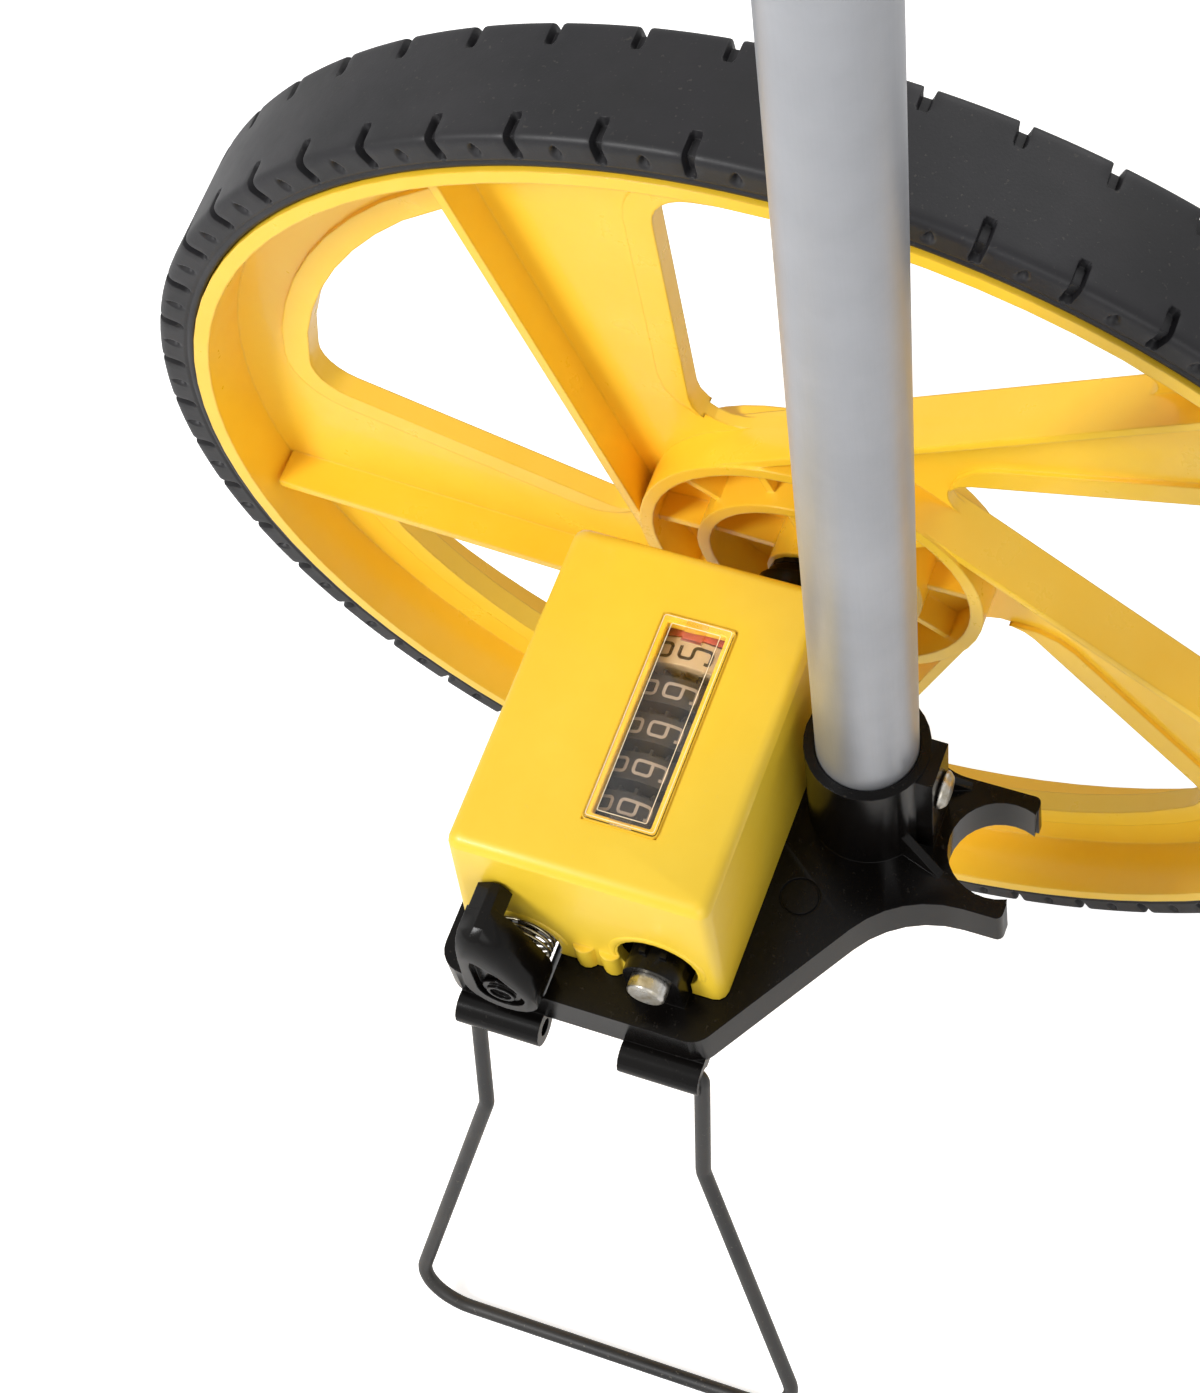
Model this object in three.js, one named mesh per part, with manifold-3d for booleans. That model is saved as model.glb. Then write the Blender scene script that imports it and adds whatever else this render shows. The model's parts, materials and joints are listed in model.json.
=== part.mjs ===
// Measuring wheel: a one-metre road wheel with a five-digit counter, a folding tube handle and a wire stand.
// Millimetres, +X the way the wheel rolls, +Y to the counter side, +Z up.
// The origin is where the middle of the tyre touches the ground.
import * as THREE from 'three';
import { mergeVertices } from 'three/addons/utils/BufferGeometryUtils.js';
import Module from 'manifold-3d';

const wasm = await Module();
wasm.setup();

// Shares and clearances used by all pieces
const HALF = 0.5;
const SEAT_GAP = 0.3;
const RUNNING_GAP = 0.6;
const CUT_OVERRUN = 1;

// Wheel
const WHEEL_TRAVEL = 1000;
const TYRE_RADIUS = WHEEL_TRAVEL / (2 * Math.PI);
const WHEEL_SIDES = 90;
const HUB_SIDES = 48;
const CORNER_STEPS = 6;
const TYRE_SECTION = 9.4;
const RIM_OUTER_RADIUS = TYRE_RADIUS - TYRE_SECTION;
const RIM_WALL = 3.65;
const RIM_WIDTH = 31;
const RIM_DRAFT = 1.4;
const WEB_THICKNESS = 3;
const LIP_HEIGHT = 1.2;
const LIP_WIDTH = 6.5;
const SPOKE_COUNT = 5;
const SPOKE_START_DEG = 4.2;
const SPOKE_TAPER_DEG = 13.5;
const SPOKE_EDGE_OFFSET = 27;
const SPOKE_RIB_WALL = 2.4;
const SPOKE_RIB_HEIGHT = 10.7;
const RIM_BAND = 19.1;
const HOLE_OUTER_RADIUS = RIM_OUTER_RADIUS - RIM_WALL - RIM_BAND;
const HOLE_INNER_FILLET = 9;
const HOLE_OUTER_FILLET = 11;
const HOLE_RIB_FILLET = 4;
const HUB_RING_RADIUS = 41.24;
const HUB_RING_WALL = 3.2;
const HUB_RING_HEIGHT = 11.4;
const HUB_CUP_RADIUS = 27;
const HUB_CUP_WALL = 3;
const HUB_CUP_HEIGHT = 11.85;
const HUB_RIB_COUNT = 10;
const HUB_RIB_WALL = 2;
const HUB_RIB_HEIGHT = 8;
const HUB_BOSS_RADIUS = 9.5;
const HUB_BOSS_HEIGHT = 13.2;

// Tyre
const TYRE_WIDTH = 29.4;
const TREAD_WIDTH = 26.4;
const TYRE_SHOULDER_DROP = 1.8;
const TYRE_SHOULDER_INSET = 0.5;

// Axle and what sits on it
const AXLE_RADIUS = 4.4;
const AXLE_FAR_END = -23;
const AXLE_NEAR_END = 120.9;
const AXLE_CHAMFER = 0.6;
const WASHER_RADIUS = 8.5;
const WASHER_THICKNESS = 1.2;
const NUT_ACROSS_FLATS = 13;
const NUT_HEIGHT = 6.5;
const BUSH_RADIUS = 7;
const BUSH_FLANGE_RADIUS = 8.8;
const AXLE_CLIP_RADIUS = 6.6;
const AXLE_CLIP_THICKNESS = 1;

// Bracket
const PLATE_DROP = 11;
const PLATE_THICKNESS = 3;
const SKIRT_HEIGHT = 12;
const SKIRT_WALL = 2.6;
const PLATE_FRONT_X = 49.8;
const PLATE_FAR_Y = 27.5;
const PLATE_NEAR_Y = 124.2;
const PLATE_CORNER_RADIUS = 6;
const PLATE_TAIL_X = -12;
const PLATE_TAIL_SLOPE_DEG = 57.3;
const PLATE_TAIL_CURVE = 26;
const PLATE_FAR_TAIL_X = -24;
const FAR_BOSS_RADIUS = 10.4;
const FAR_BOSS_START_Y = 17.6;
const FAR_BOSS_END_Y = 30.4;
const NEAR_BOSS_RADIUS = 6.5;
const NEAR_BOSS_START_Y = 101.5;
const NEAR_BOSS_END_Y = 117;
const BOSS_RIB_WALL = 1.4;
const BOSS_RIB_HEIGHT = 2.2;
const BOSS_RIB_SPREAD = 2.4;
const MARK_X = -22;
const MARK_Y = 84.4;
const MARK_RADIUS = 4.6;
const MARK_DEPTH = 0.5;

// Handle tube, its socket and the clip that holds it folded
const HANDLE_LEAN_DEG = 2.12;
const HANDLE_X = -29.85;
const HANDLE_Y = 58.9;
const TUBE_RADIUS = 11.17;
const TUBE_WALL = 1.2;
const SOCKET_WALL = 2.3;
const SOCKET_HEIGHT = 33.3;
const SOCKET_PAD_DEPTH = 2.6;
const SOCKET_PAD_WIDTH = 11;
const SOCKET_PAD_HEIGHT = 32.3;
const SOCKET_SCREW_HEIGHT = 20.5;
const SOCKET_SCREW_RADIUS = 2;
const SOCKET_SCREW_HEAD_RADIUS = 4.4;
const SOCKET_SCREW_HEAD = 2.4;
const SCREW_DOME_FLAT_SHARE = 0.75;
const SCREW_RIM_SHARE = 0.3;
const SCREW_SHOULDER_SHARE = 0.8;
const GUSSET_WALL = 2;
const GUSSET_HEIGHT = 12;
const GUSSET_LENGTH = 13;
const GUSSET_START_X = -9.35;
const GUSSET_START_Y = 7.6;
const GUSSET_TURN_DEG = 19;
const CLIP_SPACING = 30.7;
const CLIP_SIDESTEP = 1.9;
const CLIP_CLEARANCE = 0.45;
const CLAW_NEAR_WALL = 4.1;
const CLAW_FAR_WALL = 3.3;
const CLAW_TIP_RADIUS = 1.6;
const CLIP_REACH = 5.1;

// Stand and its two hooks
const STAND_WIRE_RADIUS = 1.85;
const STAND_SPLAY_DEG = 15.5;
const STAND_AXIS_Y = 125.5;
const STAND_AXIS_DROP = 26.5;
const STAND_FRONT_X = 42;
const STAND_REAR_X = -12;
const STAND_STUB = 15;
const STAND_KNEE = 38;
const STAND_FOOT_CENTRE_X = 15;
const STAND_FOOT_HALF_WIDTH = 53;
const STAND_EYE_BEND = 3;
const STAND_KNEE_BEND = 10;
const STAND_FOOT_BEND = 12;
const HOOK_RADIUS = 4.6;
const FRONT_HOOK_START_X = 25.5;
const FRONT_HOOK_END_X = 45.5;
const REAR_HOOK_START_X = -12.5;
const REAR_HOOK_END_X = 6.5;
const HOOK_SLOT_BEHIND = 3.6;
const HOOK_SLOT_AHEAD = 2.35;
const HOOK_SLOT_RISE = 0.5;
const HOOK_STOP_Y = 3.1;

// Counter cover and window
const COVER_FRONT_TOP_X = 45.2;
const COVER_FRONT_BASE_X = 47.6;
const COVER_REAR_TOP_X = -14.15;
const COVER_REAR_BASE_X = -14.65;
const COVER_FAR_Y = 30.9;
const COVER_NEAR_TOP_Y = 111.3;
const COVER_NEAR_BASE_Y = 113.2;
const COVER_TOP_RISE = 32.4;
const COVER_WALL = 2.4;
const COVER_CORNER_RADIUS = 2.8;
const COVER_BUMP_RADIUS = 2.8;
const COVER_BUMP_HEIGHT = 8.5;
const COVER_BUMP_X = [17.6, 11.4];
const LENS_X = 10.35;
const LENS_Y = 72.2;
const LENS_WIDTH = 16.4;
const LENS_LENGTH = 50.6;
const LENS_PROUD = 1.1;
const LENS_WALL = 1.6;
const LENS_DEPTH = 3.2;

// Counter works
const DRUM_X = 11;
const DRUM_RISE = 15.2;
const DRUM_RADIUS = 13.8;
const DRUM_PITCH = 9.45;
const FIRST_DRUM_Y = 53.05;
const DRUM_BAND = 6.5;
const DRUM_SIDES = 30;
const DRUM_SHAFT_RADIUS = 1.5;
const DRUM_GEAR_TEETH = 20;
const DRUM_GEAR_TIP = 12.1;
const DRUM_GEAR_ROOT = 10.1;
const DRUM_GEAR_WIDTH = 2.2;
const DIGIT_COUNT = 5;
const TOOTH_TIP_SHARE = 0.1;
const TOOTH_ROOT_SHARE = 0.19;
const INPUT_TEETH = 18;
const INPUT_GEAR_TIP = 10.1;
const INPUT_GEAR_ROOT = 8.2;
const INPUT_GEAR_WIDTH = 3.6;
const INPUT_GEAR_Y = 43.3;
const INPUT_DISC_WIDTH = 3.9;
const DRUM_TOOTH_TIP_SHARE = 0.09;
const DRUM_TOOTH_ROOT_SHARE = 0.17;
const PINION_DISTANCE = 15.9;
const PINION_ANGLE_DEG = 175;
const PINION_TEETH = 8;
const PINION_TIP = 5.1;
const PINION_ROOT = 3.1;
const PINION_WIDTH = 1.7;
const PINION_SHAFT_RADIUS = 1;
const FRAME_FAR_Y = 36.9;
const FRAME_NEAR_Y = 99;
const FRAME_WALL = 2.4;
const FRAME_REAR_X = -10.9;
const FRAME_FRONT_X = 24;
const FRAME_TOP_RISE = 22;

// Reset works
const RESET_X = 32.2;
const RESET_DROP = 6.9;
const RESET_SHAFT_RADIUS = 2.5;
const RESET_SHAFT_START_Y = 35;
const RESET_SHAFT_END_Y = 122.6;
const RESET_FINGER_REACH = 15.5;
const RESET_FINGER_WIDTH = 3;
const RESET_FINGER_ANGLE_DEG = 108;
const RESET_FLANGE_RADIUS = 8.2;
const RESET_FLANGE_START_Y = 106.9;
const RESET_FLANGE_END_Y = 109.6;
const RESET_POST_WIDTH = 9;
const RESET_POST_LENGTH = 4;
const LEVER_ROUND_RADIUS = 8.7;
const LEVER_ROUND_DEG = [180, 357];
const LEVER_START_Y = 118;
const LEVER_END_Y = 127.5;
const LEVER_SHOULDER = 4;
const LEVER_FAR_TOP = [
  [7.6, 23.4], [3.4, 26.6], [1.2, 26.7], [-2.7, 20.7], [-5.2, 15.2], [-7.7, 8.6], [-8.9, 4.6],
];
const LEVER_NEAR_ROUND_RADIUS = 8.6;
const LEVER_NEAR_TOP = [
  [7.8, 14.2], [6.2, 17], [4.3, 16.8], [-0.3, 13.2], [-2.6, 10.6], [-5.3, 6], [-7.3, 2.3],
];
const LEVER_PAD_START_Y = 112.6;
const LEVER_PAD_OUTLINE = [[7, 18], [7, 24.2], [3.4, 26.6], [1.2, 26.7], [-0.9, 23], [1, 18.6]];
const LEVER_POCKET_ROUND_RADIUS = 5.6;
const LEVER_POCKET_TOP = [[5.6, 11.5], [4.9, 14.3], [3.9, 14.2], [-0.9, 10], [-3.9, 4.6]];
const LEVER_POCKET_DEPTH = 1.8;
const LEVER_SCREW_RADIUS = 4.6;
const LEVER_SCREW_RING_RADIUS = 3.3;
const LEVER_SCREW_RING_WALL = 0.9;
const LEVER_SCREW_HEAD = 1.6;
const RESET_SPRING_WIRE = 0.4;
const RESET_SPRING_RADIUS = 6.8;
const RESET_SPRING_TURNS = 4;
const RESET_SPRING_PITCH = 1.26;
const RESET_SPRING_TAIL = 3;

// Fold hinge, upper tube and grip, measured up the handle tube from the plate
const HINGE_HEIGHT = 366;
const HINGE_EAR_RADIUS = 5.5;
const HINGE_PIN_RADIUS = 2;
const HINGE_PIN_HEAD_RADIUS = 3.6;
const HINGE_PIN_HEAD = 1.6;
const KNUCKLE_WALL = 2.6;
const KNUCKLE_LENGTH = 36;
const KNUCKLE_GAP = 6;
const TONGUE_WIDTH = 11;
const EAR_WALL = 3.6;
const BUTTON_WIDTH = 8;
const BUTTON_HEIGHT = 12;
const BUTTON_PROUD = 3.4;
const BUTTON_TRAVEL = 2.2;
const BUTTON_BLOCK_DEPTH = 8;
const BUTTON_BLOCK_WALL = 2;
const BUTTON_DROP = 24;
const LOCK_SPRING_RADIUS = 2;
const UPPER_LENGTH = 510;
const GRIP_LENGTH = 118;
const GRIP_RADIUS = 15.5;
const GRIP_RING_DEPTH = 1.2;
const GRIP_RING_COUNT = 4;
const GRIP_CAP_RADIUS = 13.5;
const GRIP_CAP_HEIGHT = 5;
const GRIP_CAP_TOP_SHARE = 0.8;

// Screws from under the plate
const SCREW_RADIUS = 1.5;
const SCREW_HEAD_RADIUS = 2.8;
const SCREW_HEAD = 1.8;
const SCREW_LENGTH = 9;
const POST_RADIUS = 3.4;
const POST_INSET = 4.4;
const FRAME_SCREW_LENGTH = 4.8;

// Sizes worked out from those above
const RIM_HALF = RIM_WIDTH / 2;
const PLATE_TOP = -PLATE_DROP;
const PLATE_UNDER = PLATE_TOP - PLATE_THICKNESS;
const SKIRT_BOTTOM = PLATE_TOP - SKIRT_HEIGHT;
const TUBE_BORE = TUBE_RADIUS + SEAT_GAP;
const SOCKET_RADIUS = TUBE_BORE + SOCKET_WALL;
const AXLE_BORE = AXLE_RADIUS + SEAT_GAP;
const CLIP_BORE = TUBE_RADIUS + CLIP_CLEARANCE;
const CLIP_X = HANDLE_X - CLIP_SPACING;
const CLIP_Y = HANDLE_Y + CLIP_SIDESTEP;
const STAND_AXIS_Z = -STAND_AXIS_DROP;
const HOOK_BORE = STAND_WIRE_RADIUS + SEAT_GAP;
const FAR_WASHER_Y = -HUB_BOSS_HEIGHT - SEAT_GAP - WASHER_THICKNESS;
const HUB_NUT_Y = FAR_WASHER_Y - SEAT_GAP - NUT_HEIGHT;
const NEAR_WASHER_Y = HUB_BOSS_HEIGHT + SEAT_GAP;
const BUSH_START_Y = NEAR_WASHER_Y + WASHER_THICKNESS + SEAT_GAP;
const KNUCKLE_RADIUS = TUBE_BORE + KNUCKLE_WALL;
const LOWER_KNUCKLE_TOP = HINGE_HEIGHT - KNUCKLE_GAP;
const UPPER_KNUCKLE_BASE = HINGE_HEIGHT + KNUCKLE_GAP;
const HINGE_X = -CLIP_SPACING * HALF;
const BUTTON_SEAT_X = KNUCKLE_RADIUS + BUTTON_TRAVEL + RUNNING_GAP * 2;
const PINION_X = DRUM_X + PINION_DISTANCE * Math.cos(radians(PINION_ANGLE_DEG));
const PINION_Z = DRUM_RISE + PINION_DISTANCE * Math.sin(radians(PINION_ANGLE_DEG));

function radians(degrees) {
  return THREE.MathUtils.degToRad(degrees);
}

// Solids from three.js geometry

function solidOf(geometry) {
  const bare = geometry.index ? geometry.toNonIndexed() : geometry.clone();
  bare.deleteAttribute('normal');
  bare.deleteAttribute('uv');
  const merged = mergeVertices(bare);
  const corners = merged.index.array;
  const faces = [];
  for (let i = 0; i < corners.length; i += 3) {
    const [a, b, c] = [corners[i], corners[i + 1], corners[i + 2]];
    if (a !== b && b !== c && c !== a) faces.push(a, b, c);
  }
  const vertProperties = new Float32Array(merged.attributes.position.array);
  const make = (list) => new wasm.Manifold(new wasm.Mesh({
    numProp: 3, vertProperties, triVerts: new Uint32Array(list),
  }));
  const solid = make(faces);
  return solid.volume() > 0 ? solid : make(faces.slice().reverse());
}

function joined(...solids) {
  return solids.reduce((sum, solid) => sum.add(solid));
}

function cut(solid, ...tools) {
  return tools.reduce((rest, tool) => rest.subtract(tool), solid);
}

function meshOf(name, solid, material) {
  const shape = solid.getMesh();
  const geometry = new THREE.BufferGeometry();
  geometry.setAttribute('position', new THREE.BufferAttribute(shape.vertProperties, 3));
  geometry.setIndex(new THREE.BufferAttribute(shape.triVerts, 1));
  geometry.computeVertexNormals();
  const mesh = new THREE.Mesh(geometry, material);
  mesh.name = name;
  return mesh;
}

function box(x0, x1, y0, y1, z0, z1) {
  const geometry = new THREE.BoxGeometry(x1 - x0, y1 - y0, z1 - z0);
  geometry.translate((x0 + x1) * HALF, (y0 + y1) * HALF, (z0 + z1) * HALF);
  return solidOf(geometry);
}

// A rod lies along one axis; its place gives the other two coordinates in X, Y, Z order
function rodGeometry(axis, radius, from, to, sides) {
  const geometry = new THREE.CylinderGeometry(radius, radius, to - from, sides);
  geometry.translate(0, (from + to) * HALF, 0);
  if (axis === 'x') geometry.rotateZ(-Math.PI / 2);
  if (axis === 'z') geometry.rotateX(Math.PI / 2);
  return geometry;
}

function rodX(radius, x0, x1, y, z, sides = 20) {
  return solidOf(rodGeometry('x', radius, x0, x1, sides).translate(0, y, z));
}

function rodY(radius, y0, y1, x, z, sides = 20) {
  return solidOf(rodGeometry('y', radius, y0, y1, sides).translate(x, 0, z));
}

function rodZ(radius, z0, z1, x, y, sides = 20) {
  return solidOf(rodGeometry('z', radius, z0, z1, sides).translate(x, y, 0));
}

// Turns a profile of [radius, height] points round the Y axis, with a flat side lowest
function spunY(profile, sides, x = 0, z = 0) {
  const apothemShare = 1 / Math.cos(Math.PI / sides);
  const points = profile.map(([radius, y]) => new THREE.Vector2(radius * apothemShare, y));
  const geometry = new THREE.LatheGeometry(points, sides, Math.PI / sides);
  return solidOf(geometry.translate(x, 0, z));
}

function ringY(inner, outer, y0, y1, sides, x = 0, z = 0) {
  return spunY([[inner, y0], [outer, y0], [outer, y1], [inner, y1], [inner, y0]], sides, x, z);
}

function spunZ(profile, sides, x = 0, y = 0) {
  const points = profile.map(([radius, z]) => new THREE.Vector2(radius, z));
  const geometry = new THREE.LatheGeometry(points, sides);
  return solidOf(geometry.rotateX(Math.PI / 2).translate(x, y, 0));
}

function ringZ(inner, outer, z0, z1, sides, x = 0, y = 0) {
  return spunZ([[inner, z0], [outer, z0], [outer, z1], [inner, z1], [inner, z0]], sides, x, y);
}

// A shape drawn in X and Z, given a thickness along Y
function plateY(shape, y0, y1, curveSegments = 6) {
  const geometry = new THREE.ExtrudeGeometry(shape, { depth: y1 - y0, bevelEnabled: false, curveSegments });
  geometry.rotateX(Math.PI / 2);
  return solidOf(geometry.translate(0, y1, 0));
}

// A shape drawn in X and Y, given a thickness along Z
function plateZ(shape, z0, z1, curveSegments = 6) {
  const geometry = new THREE.ExtrudeGeometry(shape, { depth: z1 - z0, bevelEnabled: false, curveSegments });
  return solidOf(geometry.translate(0, 0, z0));
}

function polygon(points) {
  return new THREE.Shape(points.map(([x, y]) => new THREE.Vector2(x, y)));
}

// An outline with its corners rounded: each corner is [x, y, radius]
function rounded(corners) {
  const shape = [];
  corners.forEach(([x, y, radius = 0], i) => {
    const here = new THREE.Vector2(x, y);
    const before = new THREE.Vector2(...corners[(i + corners.length - 1) % corners.length]);
    const after = new THREE.Vector2(...corners[(i + 1) % corners.length]);
    const back = before.clone().sub(here).normalize();
    const on = after.clone().sub(here).normalize();
    const angle = Math.acos(THREE.MathUtils.clamp(back.dot(on), -1, 1));
    if (radius === 0 || Math.PI - angle < 1e-6) {
      shape.push([x, y]);
      return;
    }
    const reach = radius / Math.tan(angle * HALF);
    const middle = back.clone().add(on).normalize();
    const centre = here.clone().addScaledVector(middle, radius / Math.sin(angle * HALF));
    const start = here.clone().addScaledVector(back, reach).sub(centre);
    const sweep = Math.PI - angle;
    const turn = back.cross(on) > 0 ? -1 : 1;
    for (let k = 0; k <= CORNER_STEPS; k += 1) {
      const turned = turn * sweep * k / CORNER_STEPS;
      const point = start.clone().rotateAround(new THREE.Vector2(), turned).add(centre);
      shape.push([point.x, point.y]);
    }
  });
  return polygon(shape);
}

// A closed body through rings of matching points, first and last rings flat
function loft(rings) {
  const count = rings[0].length;
  const positions = rings.flat(2);
  const index = [];
  for (let r = 0; r + 1 < rings.length; r += 1) {
    for (let i = 0; i < count; i += 1) {
      const j = (i + 1) % count;
      const [a, b] = [r * count + i, r * count + j];
      index.push(a, b, b + count, a, b + count, a + count);
    }
  }
  const last = (rings.length - 1) * count;
  for (let i = 1; i + 1 < count; i += 1) {
    index.push(0, i + 1, i, last, last + i, last + i + 1);
  }
  const geometry = new THREE.BufferGeometry();
  geometry.setAttribute('position', new THREE.Float32BufferAttribute(positions, 3));
  geometry.setIndex(index);
  return solidOf(geometry);
}

// A wire's route as listed points, so each ring of the wire lies on its own point
class WireRoute extends THREE.Curve {
  constructor(points) {
    super();
    this.points = points;
  }

  getPointAt(share) {
    return this.points[Math.round(share * (this.points.length - 1))].clone();
  }

  getTangentAt(share) {
    const i = Math.round(share * (this.points.length - 1));
    const before = this.points[Math.max(i - 1, 0)];
    const after = this.points[Math.min(i + 1, this.points.length - 1)];
    const back = this.points[i].clone().sub(before).normalize();
    const on = after.clone().sub(this.points[i]).normalize();
    return back.add(on).normalize();
  }

  getSpacedPoints() {
    return this.points.map((point) => point.clone());
  }
}

function wire(points, radius, sides) {
  const round = [];
  for (let i = 0; i < sides; i += 1) {
    const angle = 2 * Math.PI * (i + HALF) / sides;
    round.push([radius * Math.cos(angle), radius * Math.sin(angle)]);
  }
  const route = new WireRoute(points);
  return solidOf(new THREE.ExtrudeGeometry(polygon(round), { steps: points.length - 1, extrudePath: route }));
}

// Corner points joined by straight runs with rounded bends: each is [x, y, z, bend]
function bentRoute(corners, steps) {
  const points = [];
  corners.forEach(([x, y, z, bend = 0], i) => {
    const here = new THREE.Vector3(x, y, z);
    if (i === 0 || i === corners.length - 1) {
      points.push(here);
      return;
    }
    const back = new THREE.Vector3(...corners[i - 1]).sub(here).normalize();
    const on = new THREE.Vector3(...corners[i + 1]).sub(here).normalize();
    const angle = back.angleTo(on);
    const reach = bend / Math.tan(angle * HALF);
    const middle = back.clone().add(on).normalize();
    const centre = here.clone().addScaledVector(middle, bend / Math.sin(angle * HALF));
    const start = here.clone().addScaledVector(back, reach).sub(centre);
    const turnAxis = back.clone().cross(on).normalize();
    for (let k = 0; k <= steps; k += 1) {
      const point = start.clone().applyAxisAngle(turnAxis, -(Math.PI - angle) * k / steps).add(centre);
      points.push(point);
    }
  });
  return points;
}

// A gear outline in X and Z about its own centre
function gearShape(teeth, tip, root, phaseShare, tipShare, rootShare) {
  const points = [];
  for (let i = 0; i < teeth; i += 1) {
    const middle = 2 * Math.PI * (i + phaseShare) / teeth;
    const at = (radius, share) => {
      const angle = middle + share * 2 * Math.PI / teeth;
      points.push([radius * Math.cos(angle), radius * Math.sin(angle)]);
    };
    at(root, -rootShare);
    at(tip, -tipShare);
    at(tip, tipShare);
    at(root, rootShare);
  }
  return polygon(points);
}

function gear(shape, y0, y1, x, z, bore) {
  const geometry = new THREE.ExtrudeGeometry(shape, { depth: y1 - y0, bevelEnabled: false });
  geometry.rotateX(Math.PI / 2).translate(x, y1, z);
  return cut(solidOf(geometry), rodY(bore, y0 - CUT_OVERRUN, y1 + CUT_OVERRUN, x, z, 12));
}

// Materials

function plastic(color, roughness = 0.4) {
  return new THREE.MeshStandardMaterial({ color, roughness, metalness: 0 });
}

function metal(color, roughness = 0.35) {
  return new THREE.MeshStandardMaterial({ color, roughness, metalness: 1 });
}

const WHEEL_YELLOW = 0xffc52e;
const COVER_YELLOW = 0xf7d342;
const BRACKET_BLACK = 0x151413;
const TYRE_GREY = 0x3d3d3f;
const TUBE_SILVER = 0xb4b6ba;
const STEEL_GREY = 0xc3beb2;
const SPRING_STEEL = 0xa9a48f;
const DRUM_BLACK = 0x1c1b1b;
const DRUM_RED = 0xc4543a;
const DRUM_PALE = 0xe9dcc4;
const LENS_CLEAR = 0xe8eef0;
const GRIP_BLACK = 0x1d1d1e;

// Wheel: rim, web with five openings, tangent ribs and a ringed hub

function spokeAngle(index) {
  return radians(SPOKE_START_DEG) + 2 * Math.PI * index / SPOKE_COUNT;
}

// The corner of two lines, each given by its direction angle and its offset to the right of the axle
function lineCorner(angleA, offsetA, angleB, offsetB) {
  const [sinA, cosA] = [Math.sin(angleA), Math.cos(angleA)];
  const [sinB, cosB] = [Math.sin(angleB), Math.cos(angleB)];
  const scale = cosA * sinB - sinA * cosB;
  const x = (cosA * offsetB - cosB * offsetA) / scale;
  const z = (sinA * offsetB - sinB * offsetA) / scale;
  return [x, z];
}

function lineCircle(angle, offset, radius) {
  const run = Math.sqrt(radius * radius - offset * offset);
  return [offset * Math.sin(angle) + run * Math.cos(angle), -offset * Math.cos(angle) + run * Math.sin(angle)];
}

// One opening between spoke number index and the next, grown outward for its lip
function openingShape(index, grow, ribGrow) {
  const edge = spokeAngle(index) + radians(SPOKE_TAPER_DEG);
  const rib = spokeAngle(index + 1);
  const edgeOffset = SPOKE_EDGE_OFFSET + grow;
  const ribOffset = HUB_RING_RADIUS - ribGrow;
  const radius = HOLE_OUTER_RADIUS + grow;
  const inner = lineCorner(edge, edgeOffset, rib, ribOffset);
  const atEdge = lineCircle(edge, edgeOffset, radius);
  const atRib = lineCircle(rib, ribOffset, radius);
  const start = Math.atan2(atEdge[1], atEdge[0]);
  const sweep = THREE.MathUtils.euclideanModulo(Math.atan2(atRib[1], atRib[0]) - start, 2 * Math.PI);
  const arcSteps = 10;
  const corners = [[...inner, HOLE_INNER_FILLET + grow], [...atEdge, HOLE_OUTER_FILLET + grow]];
  for (let k = 2; k + 1 < arcSteps; k += 1) {
    const angle = start + sweep * k / arcSteps;
    corners.push([radius * Math.cos(angle), radius * Math.sin(angle)]);
  }
  corners.push([...atRib, HOLE_RIB_FILLET]);
  return rounded(corners);
}

function radialBox(angle, inner, outer, wall, y0, y1, offset = 0) {
  const geometry = new THREE.BoxGeometry(outer - inner, y1 - y0, wall);
  geometry.translate((inner + outer) * HALF, (y0 + y1) * HALF, -offset);
  return solidOf(geometry.rotateY(-angle));
}

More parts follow.
